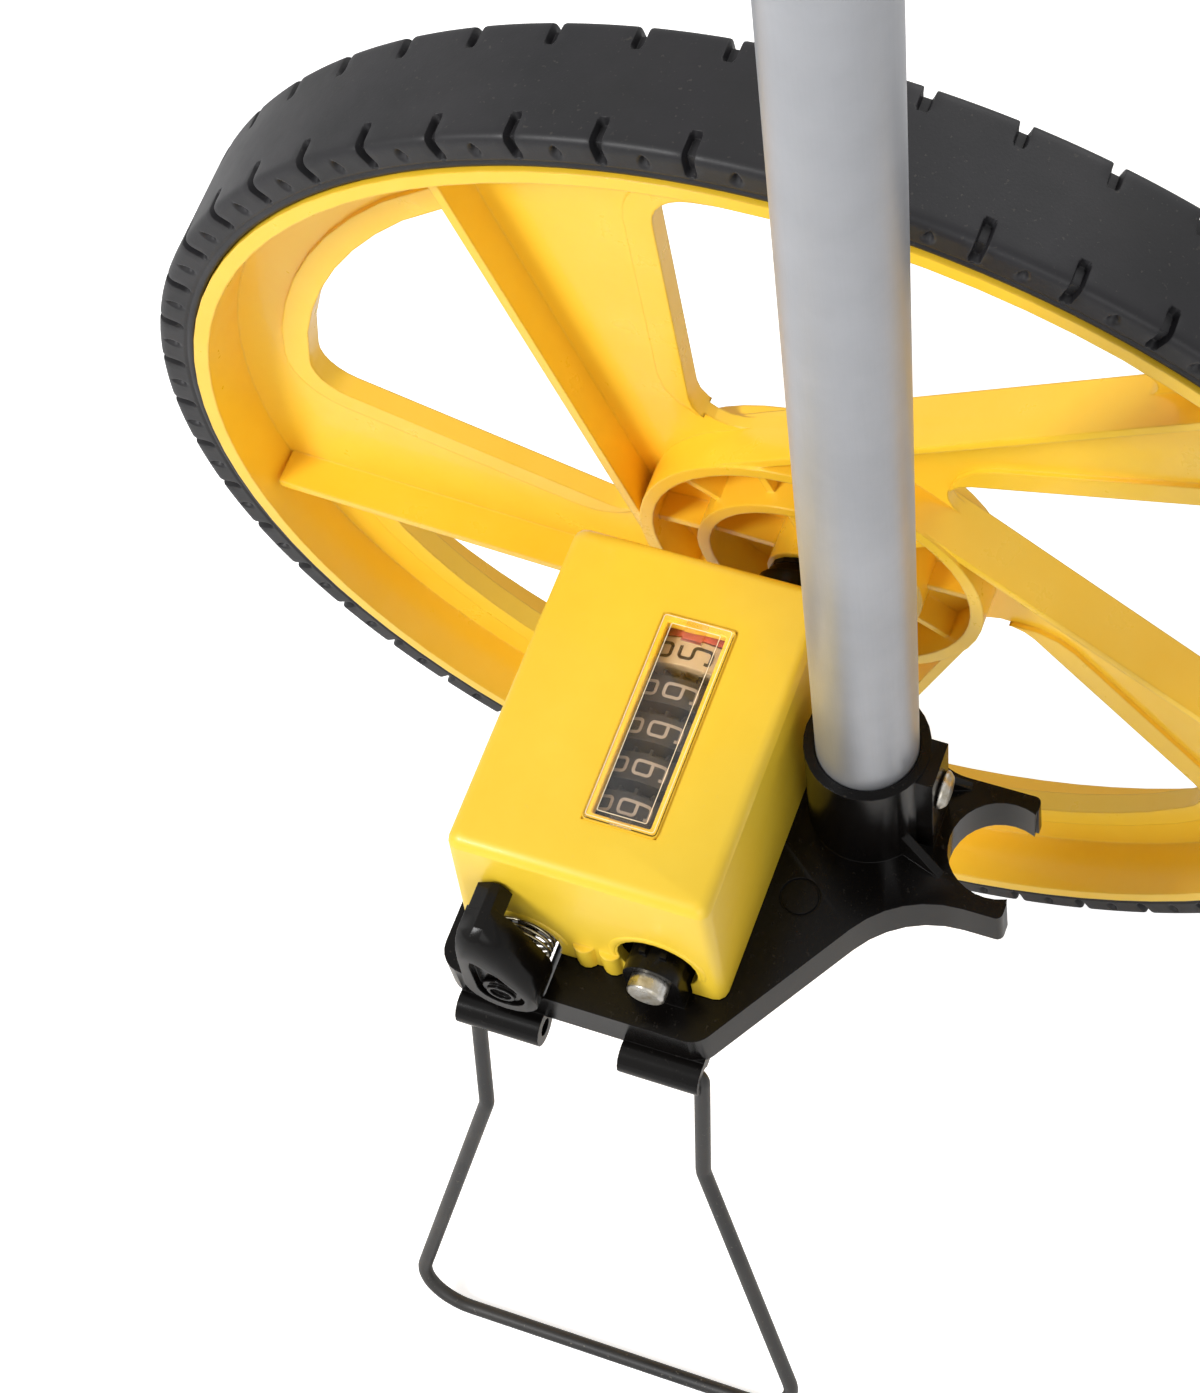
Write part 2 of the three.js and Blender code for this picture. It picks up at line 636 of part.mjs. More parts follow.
function buildWheel() {
  const innerRadius = RIM_OUTER_RADIUS - RIM_WALL;
  const webHalf = WEB_THICKNESS * HALF;
  const rim = spunY([
    [RIM_OUTER_RADIUS, -RIM_HALF], [RIM_OUTER_RADIUS, RIM_HALF], [innerRadius, RIM_HALF],
    [innerRadius - RIM_DRAFT, 0], [innerRadius, -RIM_HALF], [RIM_OUTER_RADIUS, -RIM_HALF],
  ], WHEEL_SIDES);
  const web = ringY(AXLE_BORE, innerRadius, -webHalf, webHalf, WHEEL_SIDES);
  let wheel = joined(rim, web);
  const lipHalf = webHalf + LIP_HEIGHT;
  for (let i = 0; i < SPOKE_COUNT; i += 1) {
    wheel = wheel.add(plateY(openingShape(i, LIP_WIDTH, 0), -lipHalf, lipHalf));
  }
  for (let i = 0; i < SPOKE_COUNT; i += 1) {
    wheel = wheel.subtract(plateY(openingShape(i, 0, 0), -lipHalf - CUT_OVERRUN, lipHalf + CUT_OVERRUN));
  }
  const ribRun = Math.sqrt(innerRadius ** 2 - HUB_RING_RADIUS ** 2) - RIM_DRAFT;
  const ribMiddle = HUB_RING_RADIUS - SPOKE_RIB_WALL * HALF;
  for (let i = 0; i < SPOKE_COUNT; i += 1) {
    const rib = radialBox(spokeAngle(i), 0, ribRun, SPOKE_RIB_WALL, -lipHalf, SPOKE_RIB_HEIGHT, ribMiddle);
    wheel = wheel.add(rib);
  }
  const cupInner = HUB_CUP_RADIUS - HUB_CUP_WALL;
  const ringInner = HUB_RING_RADIUS - HUB_RING_WALL;
  wheel = joined(
    wheel,
    ringY(ringInner, HUB_RING_RADIUS, -HUB_RING_HEIGHT, HUB_RING_HEIGHT, HUB_SIDES),
    ringY(cupInner, HUB_CUP_RADIUS, -HUB_CUP_HEIGHT, HUB_CUP_HEIGHT, HUB_SIDES),
    ringY(AXLE_BORE, HUB_BOSS_RADIUS, -HUB_BOSS_HEIGHT, HUB_BOSS_HEIGHT, 20),
  );
  for (let i = 0; i < HUB_RIB_COUNT; i += 1) {
    const angle = 2 * Math.PI * i / HUB_RIB_COUNT;
    wheel = wheel.add(radialBox(angle, cupInner + HUB_CUP_WALL * HALF, ringInner + HUB_RING_WALL * HALF,
      HUB_RIB_WALL, -HUB_RIB_HEIGHT, HUB_RIB_HEIGHT));
  }
  for (let i = 0; i < SPOKE_COUNT; i += 1) {
    wheel = wheel.add(radialBox(spokeAngle(i), HUB_BOSS_RADIUS - HUB_RIB_WALL, cupInner + HUB_CUP_WALL * HALF,
      HUB_RIB_WALL, -HUB_RIB_HEIGHT, HUB_RIB_HEIGHT));
  }
  return wheel;
}

function buildTyre() {
  const half = TYRE_WIDTH * HALF;
  const tread = TREAD_WIDTH * HALF;
  const seat = RIM_OUTER_RADIUS + SEAT_GAP;
  const shoulder = TYRE_RADIUS - TYRE_SHOULDER_DROP;
  const bend = TYRE_RADIUS - TYRE_SHOULDER_INSET;
  const side = (sign) => [[TYRE_RADIUS, sign * tread], [bend, sign * (tread + half) * HALF],
    [shoulder, sign * half]];
  return spunY([[seat, -half], ...side(-1).reverse(), ...side(1), [seat, half], [seat, -half]], WHEEL_SIDES);
}

// Axle and the hardware on it

function buildAxle() {
  const [r, c] = [AXLE_RADIUS, AXLE_CHAMFER];
  return spunY([[0, AXLE_FAR_END], [r - c, AXLE_FAR_END], [r, AXLE_FAR_END + c],
    [r, AXLE_NEAR_END - c], [r - c, AXLE_NEAR_END], [0, AXLE_NEAR_END]], 20);
}

function washer(y0) {
  return ringY(AXLE_BORE, WASHER_RADIUS, y0, y0 + WASHER_THICKNESS, 16);
}

function buildNut() {
  return ringY(AXLE_BORE, NUT_ACROSS_FLATS * HALF, HUB_NUT_Y, HUB_NUT_Y + NUT_HEIGHT, 6);
}

function buildBush() {
  const flangeEnd = FAR_BOSS_START_Y - SEAT_GAP;
  const end = FAR_BOSS_END_Y - SEAT_GAP;
  return spunY([[AXLE_BORE, BUSH_START_Y], [BUSH_FLANGE_RADIUS, BUSH_START_Y], [BUSH_FLANGE_RADIUS, flangeEnd],
    [BUSH_RADIUS, flangeEnd], [BUSH_RADIUS, end], [AXLE_BORE, end], [AXLE_BORE, BUSH_START_Y]], 20);
}

function buildDriveGear() {
  const shape = inputGearShape(meshPhase());
  const from = INPUT_GEAR_Y - INPUT_GEAR_WIDTH * HALF;
  return gear(shape, from, from + INPUT_GEAR_WIDTH, 0, 0, AXLE_BORE);
}

function inputGearShape(phaseShare) {
  return gearShape(INPUT_TEETH, INPUT_GEAR_TIP, INPUT_GEAR_ROOT, phaseShare, TOOTH_TIP_SHARE, TOOTH_ROOT_SHARE);
}

// The shape is drawn with its second axis down, so the line of centres is mirrored here
function meshPhase() {
  const lineOfCentres = Math.atan2(-DRUM_RISE, DRUM_X);
  return lineOfCentres * INPUT_TEETH / (2 * Math.PI);
}

function facingPhase() {
  const back = Math.atan2(DRUM_RISE, -DRUM_X);
  return back * INPUT_TEETH / (2 * Math.PI) + HALF;
}

// Bracket: plate and skirt, handle socket, fold clip, axle and reset bosses, stand hooks

// Where the sloping near edge would reach a given Y
function tailX(y) {
  return PLATE_TAIL_X - (PLATE_NEAR_Y - y) / Math.tan(radians(PLATE_TAIL_SLOPE_DEG));
}

function plateOutline() {
  const nearClaw = CLIP_Y + CLIP_BORE + CLAW_NEAR_WALL;
  const farClaw = CLIP_Y - CLIP_BORE - CLAW_FAR_WALL;
  const tipX = CLIP_X - CLIP_REACH;
  return rounded([
    [PLATE_FRONT_X, PLATE_FAR_Y, PLATE_CORNER_RADIUS],
    [PLATE_FRONT_X, PLATE_NEAR_Y, PLATE_CORNER_RADIUS],
    [PLATE_TAIL_X, PLATE_NEAR_Y, PLATE_CORNER_RADIUS],
    [tailX(nearClaw), nearClaw, PLATE_TAIL_CURVE],
    [tipX, nearClaw, CLAW_TIP_RADIUS],
    [tipX, farClaw, CLAW_TIP_RADIUS],
    [HANDLE_X - SOCKET_RADIUS, farClaw, PLATE_CORNER_RADIUS * 2],
    [PLATE_FAR_TAIL_X, PLATE_FAR_Y, PLATE_CORNER_RADIUS * 2],
  ]);
}

// The hollow under the plate, which leaves the claws solid
function skirtHollow() {
  const wall = SKIRT_WALL;
  const slopeWall = wall / Math.sin(radians(PLATE_TAIL_SLOPE_DEG));
  const clipEdge = HANDLE_X - SOCKET_RADIUS;
  const nearY = HANDLE_Y + SOCKET_RADIUS;
  const farY = HANDLE_Y - SOCKET_RADIUS + wall;
  return polygon([
    [PLATE_FRONT_X - wall, PLATE_FAR_Y + wall], [PLATE_FRONT_X - wall, PLATE_NEAR_Y - wall],
    [tailX(PLATE_NEAR_Y - wall) + slopeWall * 2, PLATE_NEAR_Y - wall],
    [tailX(nearY + PLATE_TAIL_CURVE) + slopeWall * 2, nearY + PLATE_TAIL_CURVE],
    [clipEdge + slopeWall, nearY + wall], [clipEdge, nearY - wall], [clipEdge, farY],
    [PLATE_FAR_TAIL_X + wall, PLATE_FAR_Y + wall],
  ]);
}

function tilted(solidGeometry) {
  return solidGeometry.rotateY(-radians(HANDLE_LEAN_DEG)).translate(HANDLE_X, HANDLE_Y, PLATE_TOP);
}

function tiltedRod(radius, from, to, sides, x = 0, y = 0) {
  return solidOf(tilted(rodGeometry('z', radius, from, to, sides).translate(x, y, 0)));
}

function tiltedBox(x0, x1, y0, y1, z0, z1) {
  const geometry = new THREE.BoxGeometry(x1 - x0, y1 - y0, z1 - z0);
  return solidOf(tilted(geometry.translate((x0 + x1) * HALF, (y0 + y1) * HALF, (z0 + z1) * HALF)));
}

function hookBarrel(x0, x1) {
  const barrel = rodX(HOOK_RADIUS, x0, x1, STAND_AXIS_Y, STAND_AXIS_Z, 16);
  const neck = box(x0, x1, PLATE_NEAR_Y - SKIRT_WALL, PLATE_NEAR_Y, STAND_AXIS_Z, SKIRT_BOTTOM + CUT_OVERRUN);
  return joined(barrel, neck);
}

// A hook is open below round its leg and closed outside, which stops the stand where it stands
function hookSlot(legX) {
  const swing = HOOK_RADIUS + CUT_OVERRUN;
  return box(legX - HOOK_SLOT_BEHIND, legX + HOOK_SLOT_AHEAD, STAND_AXIS_Y - swing, STAND_AXIS_Y + HOOK_STOP_Y,
    STAND_AXIS_Z - swing, STAND_AXIS_Z + HOOK_SLOT_RISE);
}

function bossRibs(radius, y0, y1) {
  return [-1, 1].map((side) => box(
    side * BOSS_RIB_SPREAD - BOSS_RIB_WALL * HALF, side * BOSS_RIB_SPREAD + BOSS_RIB_WALL * HALF,
    y0, y1, 0, radius + BOSS_RIB_HEIGHT * HALF,
  ));
}

function buildBracket() {
  const padX = -SOCKET_RADIUS - SOCKET_PAD_DEPTH;
  const padHalf = SOCKET_PAD_WIDTH * HALF;
  let bracket = cut(
    plateZ(plateOutline(), SKIRT_BOTTOM, PLATE_TOP),
    plateZ(skirtHollow(), SKIRT_BOTTOM - CUT_OVERRUN, PLATE_UNDER),
  );
  bracket = joined(
    bracket,
    tiltedRod(SOCKET_RADIUS, -PLATE_THICKNESS, SOCKET_HEIGHT, 32),
    tiltedBox(padX, 0, -padHalf, padHalf, -PLATE_THICKNESS, SOCKET_PAD_HEIGHT),
    rodY(FAR_BOSS_RADIUS, FAR_BOSS_START_Y, FAR_BOSS_END_Y, 0, 0, 24),
    box(-FAR_BOSS_RADIUS, FAR_BOSS_RADIUS, PLATE_FAR_Y - SKIRT_WALL, FAR_BOSS_END_Y, SKIRT_BOTTOM, 0),
    box(-FAR_BOSS_RADIUS, FAR_BOSS_RADIUS, FAR_BOSS_START_Y, PLATE_FAR_Y,
      PLATE_UNDER, PLATE_TOP + PLATE_THICKNESS),
    rodY(NEAR_BOSS_RADIUS, NEAR_BOSS_START_Y, NEAR_BOSS_END_Y, 0, 0, 20),
    box(-NEAR_BOSS_RADIUS, NEAR_BOSS_RADIUS, NEAR_BOSS_START_Y, NEAR_BOSS_END_Y, PLATE_UNDER, 0),
    ...bossRibs(NEAR_BOSS_RADIUS, NEAR_BOSS_START_Y, NEAR_BOSS_END_Y - NEAR_BOSS_RADIUS * HALF),
    rodY(RESET_FLANGE_RADIUS, RESET_FLANGE_START_Y, RESET_FLANGE_END_Y, RESET_X, -RESET_DROP, 24),
    box(RESET_X - RESET_POST_WIDTH * HALF, RESET_X + RESET_POST_WIDTH * HALF, RESET_SHAFT_START_Y + SEAT_GAP,
      RESET_SHAFT_START_Y + RESET_POST_LENGTH, PLATE_UNDER, -RESET_DROP + RESET_POST_LENGTH),
    hookBarrel(FRONT_HOOK_START_X, FRONT_HOOK_END_X),
    hookBarrel(REAR_HOOK_START_X, REAR_HOOK_END_X),
  );
  for (const side of [-1, 1]) {
    bracket = bracket.add(gusset(side));
  }
  return cut(
    bracket,
    tiltedRod(TUBE_BORE, 0, SOCKET_HEIGHT + CUT_OVERRUN, 32),
    tiltedRod(CLIP_BORE, -SKIRT_HEIGHT * 2, SKIRT_HEIGHT, 32, -CLIP_SPACING, CLIP_SIDESTEP),
    tiltedBox(-CLIP_SPACING - CLIP_BORE, -CLIP_SPACING - CLIP_REACH + SEAT_GAP, CLIP_SIDESTEP - CLIP_BORE,
      CLIP_SIDESTEP + CLIP_BORE, -SKIRT_HEIGHT * 2, SKIRT_HEIGHT),
    solidOf(tilted(rodGeometry('x', SOCKET_SCREW_RADIUS + SEAT_GAP, padX - CUT_OVERRUN, 0, 12)
      .translate(0, 0, SOCKET_SCREW_HEIGHT))),
    rodY(AXLE_BORE, NEAR_BOSS_START_Y - CUT_OVERRUN, NEAR_BOSS_END_Y + CUT_OVERRUN, 0, 0, 20),
    rodY(BUSH_RADIUS + SEAT_GAP, FAR_BOSS_START_Y - CUT_OVERRUN, FAR_BOSS_END_Y + CUT_OVERRUN, 0, 0, 20),
    rodY(RESET_SHAFT_RADIUS + SEAT_GAP, RESET_SHAFT_START_Y - CUT_OVERRUN, RESET_FLANGE_END_Y + CUT_OVERRUN,
      RESET_X, -RESET_DROP, 16),
    rodY(LEVER_ROUND_RADIUS + RUNNING_GAP, RESET_FLANGE_END_Y, PLATE_NEAR_Y + CUT_OVERRUN,
      RESET_X, -RESET_DROP, 24),
    rodX(HOOK_BORE, REAR_HOOK_START_X - CUT_OVERRUN, FRONT_HOOK_END_X + CUT_OVERRUN,
      STAND_AXIS_Y, STAND_AXIS_Z, 12),
    hookSlot(STAND_FRONT_X),
    hookSlot(STAND_REAR_X),
    ringZ(MARK_RADIUS - MARK_DEPTH, MARK_RADIUS, PLATE_TOP - MARK_DEPTH, PLATE_TOP + CUT_OVERRUN, 20,
      MARK_X, MARK_Y),
    ...screwBores(coverScrewPlaces(), PLATE_UNDER, PLATE_TOP),
    ...screwBores(frameScrewPlaces(), PLATE_UNDER, PLATE_TOP),
  );
}

// A low triangular wall from the socket's side out along a claw
function gusset(side) {
  const shape = polygon([[-GUSSET_LENGTH, 0], [0, GUSSET_HEIGHT], [0, 0]]);
  const geometry = new THREE.ExtrudeGeometry(shape, { depth: GUSSET_WALL, bevelEnabled: false });
  geometry.rotateX(Math.PI / 2).translate(0, GUSSET_WALL * HALF, -PLATE_THICKNESS * HALF);
  geometry.rotateZ(-side * radians(GUSSET_TURN_DEG));
  return solidOf(geometry.translate(HANDLE_X + GUSSET_START_X, HANDLE_Y + side * GUSSET_START_Y, PLATE_TOP));
}

function coverScrewPlaces() {
  const [x0, x1] = [COVER_REAR_TOP_X + COVER_WALL, COVER_FRONT_TOP_X - COVER_WALL];
  const [y0, y1] = [COVER_FAR_Y + COVER_WALL, COVER_NEAR_TOP_Y - COVER_WALL];
  return [[x1 - POST_INSET, y0 + POST_INSET * 3], [x1 - POST_INSET, y1 - POST_INSET * 2],
    [(x0 + x1) * HALF, y1 - POST_INSET]];
}

function frameScrewPlaces() {
  const x = FRAME_FRONT_X - POST_INSET;
  return [[x, FRAME_FAR_Y + POST_INSET * 2], [x, FRAME_NEAR_Y - POST_INSET * 2]];
}

function screwBores(places, from, to) {
  const bore = SCREW_RADIUS + SEAT_GAP;
  return places.map(([x, y]) => rodZ(bore, from - CUT_OVERRUN, to + CUT_OVERRUN, x, y, 12));
}

function plateScrews(name, places, length) {
  const under = PLATE_UNDER - SEAT_GAP;
  return places.map(([x, y], i) => meshOf(`${name}_${i + 1}`, joined(
    rodZ(SCREW_RADIUS, under - SCREW_HEAD * HALF, under + length, x, y, 8),
    rodZ(SCREW_HEAD_RADIUS, under - SCREW_HEAD, under, x, y, 12),
  ), metal(STEEL_GREY)));
}

// Stand

function standPoint(x, along) {
  const angle = radians(STAND_SPLAY_DEG);
  return [x, along * Math.sin(angle), -along * Math.cos(angle)];
}

function buildStand() {
  const groundDrop = TYRE_RADIUS - STAND_AXIS_DROP - STAND_WIRE_RADIUS;
  const length = groundDrop / Math.cos(radians(STAND_SPLAY_DEG));
  const left = STAND_FOOT_CENTRE_X - STAND_FOOT_HALF_WIDTH;
  const right = STAND_FOOT_CENTRE_X + STAND_FOOT_HALF_WIDTH;
  const corners = [
    [...standPoint(STAND_FRONT_X - STAND_STUB, 0)],
    [...standPoint(STAND_FRONT_X, 0), STAND_EYE_BEND],
    [...standPoint(STAND_FRONT_X, STAND_KNEE), STAND_KNEE_BEND],
    [...standPoint(right, length), STAND_FOOT_BEND],
    [...standPoint(left, length), STAND_FOOT_BEND],
    [...standPoint(STAND_REAR_X, STAND_KNEE), STAND_KNEE_BEND],
    [...standPoint(STAND_REAR_X, 0), STAND_EYE_BEND],
    [...standPoint(STAND_REAR_X + STAND_STUB, 0)],
  ];
  return wire(bentRoute(corners, 4), STAND_WIRE_RADIUS, 8);
}

// Counter cover and window

// A rounded rectangle ring at one height
function coverRing(rear, front, far, near, radius, z) {
  const points = [];
  const corners = [[front - radius, near - radius, 0], [rear + radius, near - radius, 1],
    [rear + radius, far + radius, 2], [front - radius, far + radius, 3]];
  const steps = 3;
  corners.forEach(([x, y, quarter]) => {
    for (let k = 0; k <= steps; k += 1) {
      const angle = Math.PI / 2 * (quarter + k / steps);
      points.push([x + radius * Math.cos(angle), y + radius * Math.sin(angle), z]);
    }
  });
  return points;
}

function coverBody(inset, base, top, cornerRadius) {
  const rise = COVER_TOP_RISE + PLATE_DROP;
  const at = (z, shrink) => {
    const share = (z - PLATE_TOP) / rise;
    const mix = THREE.MathUtils.lerp;
    return coverRing(
      mix(COVER_REAR_BASE_X, COVER_REAR_TOP_X, share) + inset + shrink,
      mix(COVER_FRONT_BASE_X, COVER_FRONT_TOP_X, share) - inset - shrink,
      COVER_FAR_Y + inset + shrink,
      mix(COVER_NEAR_BASE_Y, COVER_NEAR_TOP_Y, share) - inset - shrink,
      cornerRadius - shrink * HALF, z,
    );
  };
  const steps = 3;
  const rings = [at(base, 0)];
  for (let k = 0; k <= steps; k += 1) {
    const angle = Math.PI / 2 * k / steps;
    rings.push(at(top - cornerRadius + cornerRadius * Math.sin(angle), cornerRadius * (1 - Math.cos(angle))));
  }
  return loft(rings);
}

function lensBlock(grow, z0, z1) {
  const [halfX, halfY] = [LENS_WIDTH * HALF + grow, LENS_LENGTH * HALF + grow];
  return box(LENS_X - halfX, LENS_X + halfX, LENS_Y - halfY, LENS_Y + halfY, z0, z1);
}

function buildCover() {
  const base = PLATE_TOP + SEAT_GAP;
  const post = POST_RADIUS - SEAT_GAP;
  const screwTop = PLATE_UNDER + SCREW_LENGTH;
  let cover = coverBody(0, base, COVER_TOP_RISE, COVER_CORNER_RADIUS);
  const bumpY = COVER_NEAR_BASE_Y - COVER_BUMP_RADIUS * HALF;
  for (const x of COVER_BUMP_X) {
    cover = cover.add(rodZ(COVER_BUMP_RADIUS, base, base + COVER_BUMP_HEIGHT, x, bumpY, 14));
  }
  const hollowTop = COVER_TOP_RISE - COVER_WALL;
  cover = cover.subtract(coverBody(COVER_WALL, base - CUT_OVERRUN, hollowTop, COVER_CORNER_RADIUS * HALF));
  for (const [x, y] of coverScrewPlaces()) {
    cover = cover.add(rodZ(post, base, COVER_TOP_RISE - COVER_WALL * HALF, x, y, 14));
  }
  return cut(
    cover,
    lensBlock(SEAT_GAP, COVER_TOP_RISE - COVER_WALL - CUT_OVERRUN, COVER_TOP_RISE + CUT_OVERRUN),
    rodY(NEAR_BOSS_RADIUS + BOSS_RIB_HEIGHT + RUNNING_GAP, NEAR_BOSS_START_Y, COVER_NEAR_BASE_Y + CUT_OVERRUN,
      0, 0, 24),
    box(-NEAR_BOSS_RADIUS - RUNNING_GAP, NEAR_BOSS_RADIUS + RUNNING_GAP, NEAR_BOSS_START_Y,
      COVER_NEAR_BASE_Y + CUT_OVERRUN, PLATE_TOP - CUT_OVERRUN, 0),
    rodY(RESET_FLANGE_RADIUS + RUNNING_GAP, RESET_FLANGE_START_Y - RUNNING_GAP * 2,
      COVER_NEAR_BASE_Y + CUT_OVERRUN, RESET_X, -RESET_DROP, 24),
    rodY(FAR_BOSS_RADIUS + SEAT_GAP, COVER_FAR_Y - CUT_OVERRUN, COVER_FAR_Y + COVER_WALL + CUT_OVERRUN,
      0, 0, 24),
    box(-FAR_BOSS_RADIUS - SEAT_GAP, FAR_BOSS_RADIUS + SEAT_GAP, COVER_FAR_Y - CUT_OVERRUN,
      COVER_FAR_Y + COVER_WALL + CUT_OVERRUN, PLATE_TOP - CUT_OVERRUN, 0),
    ...screwBores(coverScrewPlaces(), base, screwTop),
  );
}

function buildLens() {
  const top = COVER_TOP_RISE + LENS_PROUD;
  const bottom = COVER_TOP_RISE - LENS_DEPTH + LENS_PROUD;
  return cut(lensBlock(0, bottom, top), lensBlock(-LENS_WALL, bottom - CUT_OVERRUN, top - LENS_WALL));
}

// Counter works

function buildCounterFrame() {
  const under = PLATE_TOP + SEAT_GAP;
  const floorTop = under + FRAME_WALL;
  const upright = (y0) => box(FRAME_REAR_X, FRAME_FRONT_X, y0, y0 + FRAME_WALL, under, FRAME_TOP_RISE);
  const gearHalf = INPUT_GEAR_WIDTH * HALF + CUT_OVERRUN;
  const ends = [FRAME_FAR_Y - CUT_OVERRUN, FRAME_NEAR_Y + CUT_OVERRUN];
  return cut(
    joined(
      box(FRAME_REAR_X, FRAME_FRONT_X, FRAME_FAR_Y, FRAME_NEAR_Y, under, floorTop),
      upright(FRAME_FAR_Y),
      upright(FRAME_NEAR_Y - FRAME_WALL),
    ),
    box(-INPUT_GEAR_TIP - CUT_OVERRUN, INPUT_GEAR_TIP + CUT_OVERRUN, INPUT_GEAR_Y - gearHalf,
      INPUT_GEAR_Y + gearHalf, under - CUT_OVERRUN, floorTop + CUT_OVERRUN),
    rodY(AXLE_BORE + RUNNING_GAP, ...ends, 0, 0, 20),
    rodY(DRUM_SHAFT_RADIUS + SEAT_GAP, ...ends, DRUM_X, DRUM_RISE, 10),
    rodY(PINION_SHAFT_RADIUS + SEAT_GAP, ...ends, PINION_X, PINION_Z, 12),
    ...screwBores(frameScrewPlaces(), under, floorTop),
  );
}

function worksShaft(radius, x, z) {
  return rodY(radius, FRAME_FAR_Y - CUT_OVERRUN, FRAME_NEAR_Y + CUT_OVERRUN, x, z, 12);
}

function buildInputGear() {
  const bore = DRUM_SHAFT_RADIUS + SEAT_GAP;
  const from = INPUT_GEAR_Y - INPUT_GEAR_WIDTH * HALF;
  const discEnd = FIRST_DRUM_Y - DRUM_BAND * HALF - SEAT_GAP;
  const shape = inputGearShape(facingPhase());
  return joined(
    gear(shape, from, discEnd - INPUT_DISC_WIDTH, DRUM_X, DRUM_RISE, bore),
    cut(rodY(DRUM_RADIUS, discEnd - INPUT_DISC_WIDTH, discEnd, DRUM_X, DRUM_RISE, DRUM_SIDES),
      rodY(bore, discEnd - INPUT_DISC_WIDTH - CUT_OVERRUN, discEnd + CUT_OVERRUN, DRUM_X, DRUM_RISE, 10)),
  );
}

function drumY(index) {
  return FIRST_DRUM_Y + DRUM_PITCH * index;
}

function drumGearSpan(index) {
  const bandStart = drumY(index) - DRUM_BAND * HALF;
  return [bandStart - DRUM_GEAR_WIDTH, bandStart];
}

function buildDrum(index) {
  const bore = DRUM_SHAFT_RADIUS + SEAT_GAP;
  const [middle, half] = [drumY(index), DRUM_BAND * HALF];
  const band = cut(
    rodY(DRUM_RADIUS, middle - half, middle + half, DRUM_X, DRUM_RISE, DRUM_SIDES),
    rodY(bore, middle - DRUM_BAND, middle + DRUM_BAND, DRUM_X, DRUM_RISE, 10),
  );
  if (index === 0) return band;
  const shape = gearShape(
    DRUM_GEAR_TEETH, DRUM_GEAR_TIP, DRUM_GEAR_ROOT, 0, DRUM_TOOTH_TIP_SHARE, DRUM_TOOTH_ROOT_SHARE,
  );
  return joined(band, gear(shape, ...drumGearSpan(index), DRUM_X, DRUM_RISE, bore));
}

// A transfer pinion's gap faces the drum tooth nearest to the line of centres
function buildPinion(index) {
  const [from, to] = drumGearSpan(index);
  const middle = (from + to) * HALF;
  const line = -radians(PINION_ANGLE_DEG);
  const toothStep = 2 * Math.PI / DRUM_GEAR_TEETH;
  const toothOffset = line - Math.round(line / toothStep) * toothStep;
  const back = line + Math.PI + toothOffset * DRUM_GEAR_TEETH / PINION_TEETH;
  const phase = back * PINION_TEETH / (2 * Math.PI) + HALF;
  const shape = gearShape(
    PINION_TEETH, PINION_TIP, PINION_ROOT, phase, DRUM_TOOTH_TIP_SHARE, DRUM_TOOTH_ROOT_SHARE,
  );
  return gear(shape, middle - PINION_WIDTH * HALF, middle + PINION_WIDTH * HALF, PINION_X, PINION_Z,
    PINION_SHAFT_RADIUS + SEAT_GAP);
}

// Reset works

function buildResetShaft() {
  let shaft = rodY(RESET_SHAFT_RADIUS, RESET_SHAFT_START_Y, RESET_SHAFT_END_Y, 0, 0, 16);
  const angle = radians(RESET_FINGER_ANGLE_DEG);
  const half = RESET_FINGER_WIDTH * HALF;
  for (let i = 0; i < DIGIT_COUNT; i += 1) {
    const [from, to] = [drumY(i) - half, drumY(i) + half];
    shaft = shaft.add(radialBox(angle, 0, RESET_FINGER_REACH, RESET_FINGER_WIDTH, from, to));
  }
  return shaft;
}

// One outline of the lever about its shaft: a round foot, then the corners of its top
function leverRing(radius, top) {
  const steps = 10;
  const [fromDeg, toDeg] = LEVER_ROUND_DEG;
  const ring = [];
  for (let k = 0; k <= steps; k += 1) {
    const angle = radians(fromDeg + (toDeg - fromDeg) * k / steps);
    ring.push([radius * Math.cos(angle), radius * Math.sin(angle)]);
  }
  return [...ring, ...top];
}

// The lever's top rolls over to its lower near face, and a thumb pad stands on its far side
function buildLever() {
  const far = leverRing(LEVER_ROUND_RADIUS, LEVER_FAR_TOP);
  const near = leverRing(LEVER_NEAR_ROUND_RADIUS, LEVER_NEAR_TOP);
  const between = (share, y) => far.map(([x, z], i) => [
    THREE.MathUtils.lerp(x, near[i][0], share), y, THREE.MathUtils.lerp(z, near[i][1], share),
  ]);
  const steps = 3;
  const rings = [between(0, LEVER_START_Y)];
  for (let k = 0; k <= steps; k += 1) {
    const angle = Math.PI / 2 * k / steps;
    rings.push(between(1 - Math.cos(angle), LEVER_END_Y - LEVER_SHOULDER * (1 - Math.sin(angle))));
  }
  const pocket = polygon(leverRing(LEVER_POCKET_ROUND_RADIUS, LEVER_POCKET_TOP));
  return cut(
    joined(loft(rings), flipZ(polygon(LEVER_PAD_OUTLINE), LEVER_PAD_START_Y, LEVER_START_Y + CUT_OVERRUN)),
    flipZ(pocket, LEVER_END_Y - LEVER_POCKET_DEPTH, LEVER_END_Y + CUT_OVERRUN),
    rodY(RESET_SHAFT_RADIUS + SEAT_GAP, LEVER_START_Y - CUT_OVERRUN, RESET_SHAFT_END_Y + SEAT_GAP, 0, 0, 16),
  );
}

// A shape drawn with X forward and Z up, given a thickness along Y
function flipZ(shape, y0, y1) {
  const up = new THREE.Matrix4().set(1, 0, 0, 0, 0, 0, 1, y0, 0, 1, 0, 0, 0, 0, 0, 1);
  const geometry = new THREE.ExtrudeGeometry(shape, { depth: y1 - y0, bevelEnabled: false });
  return solidOf(geometry.applyMatrix4(up));
}

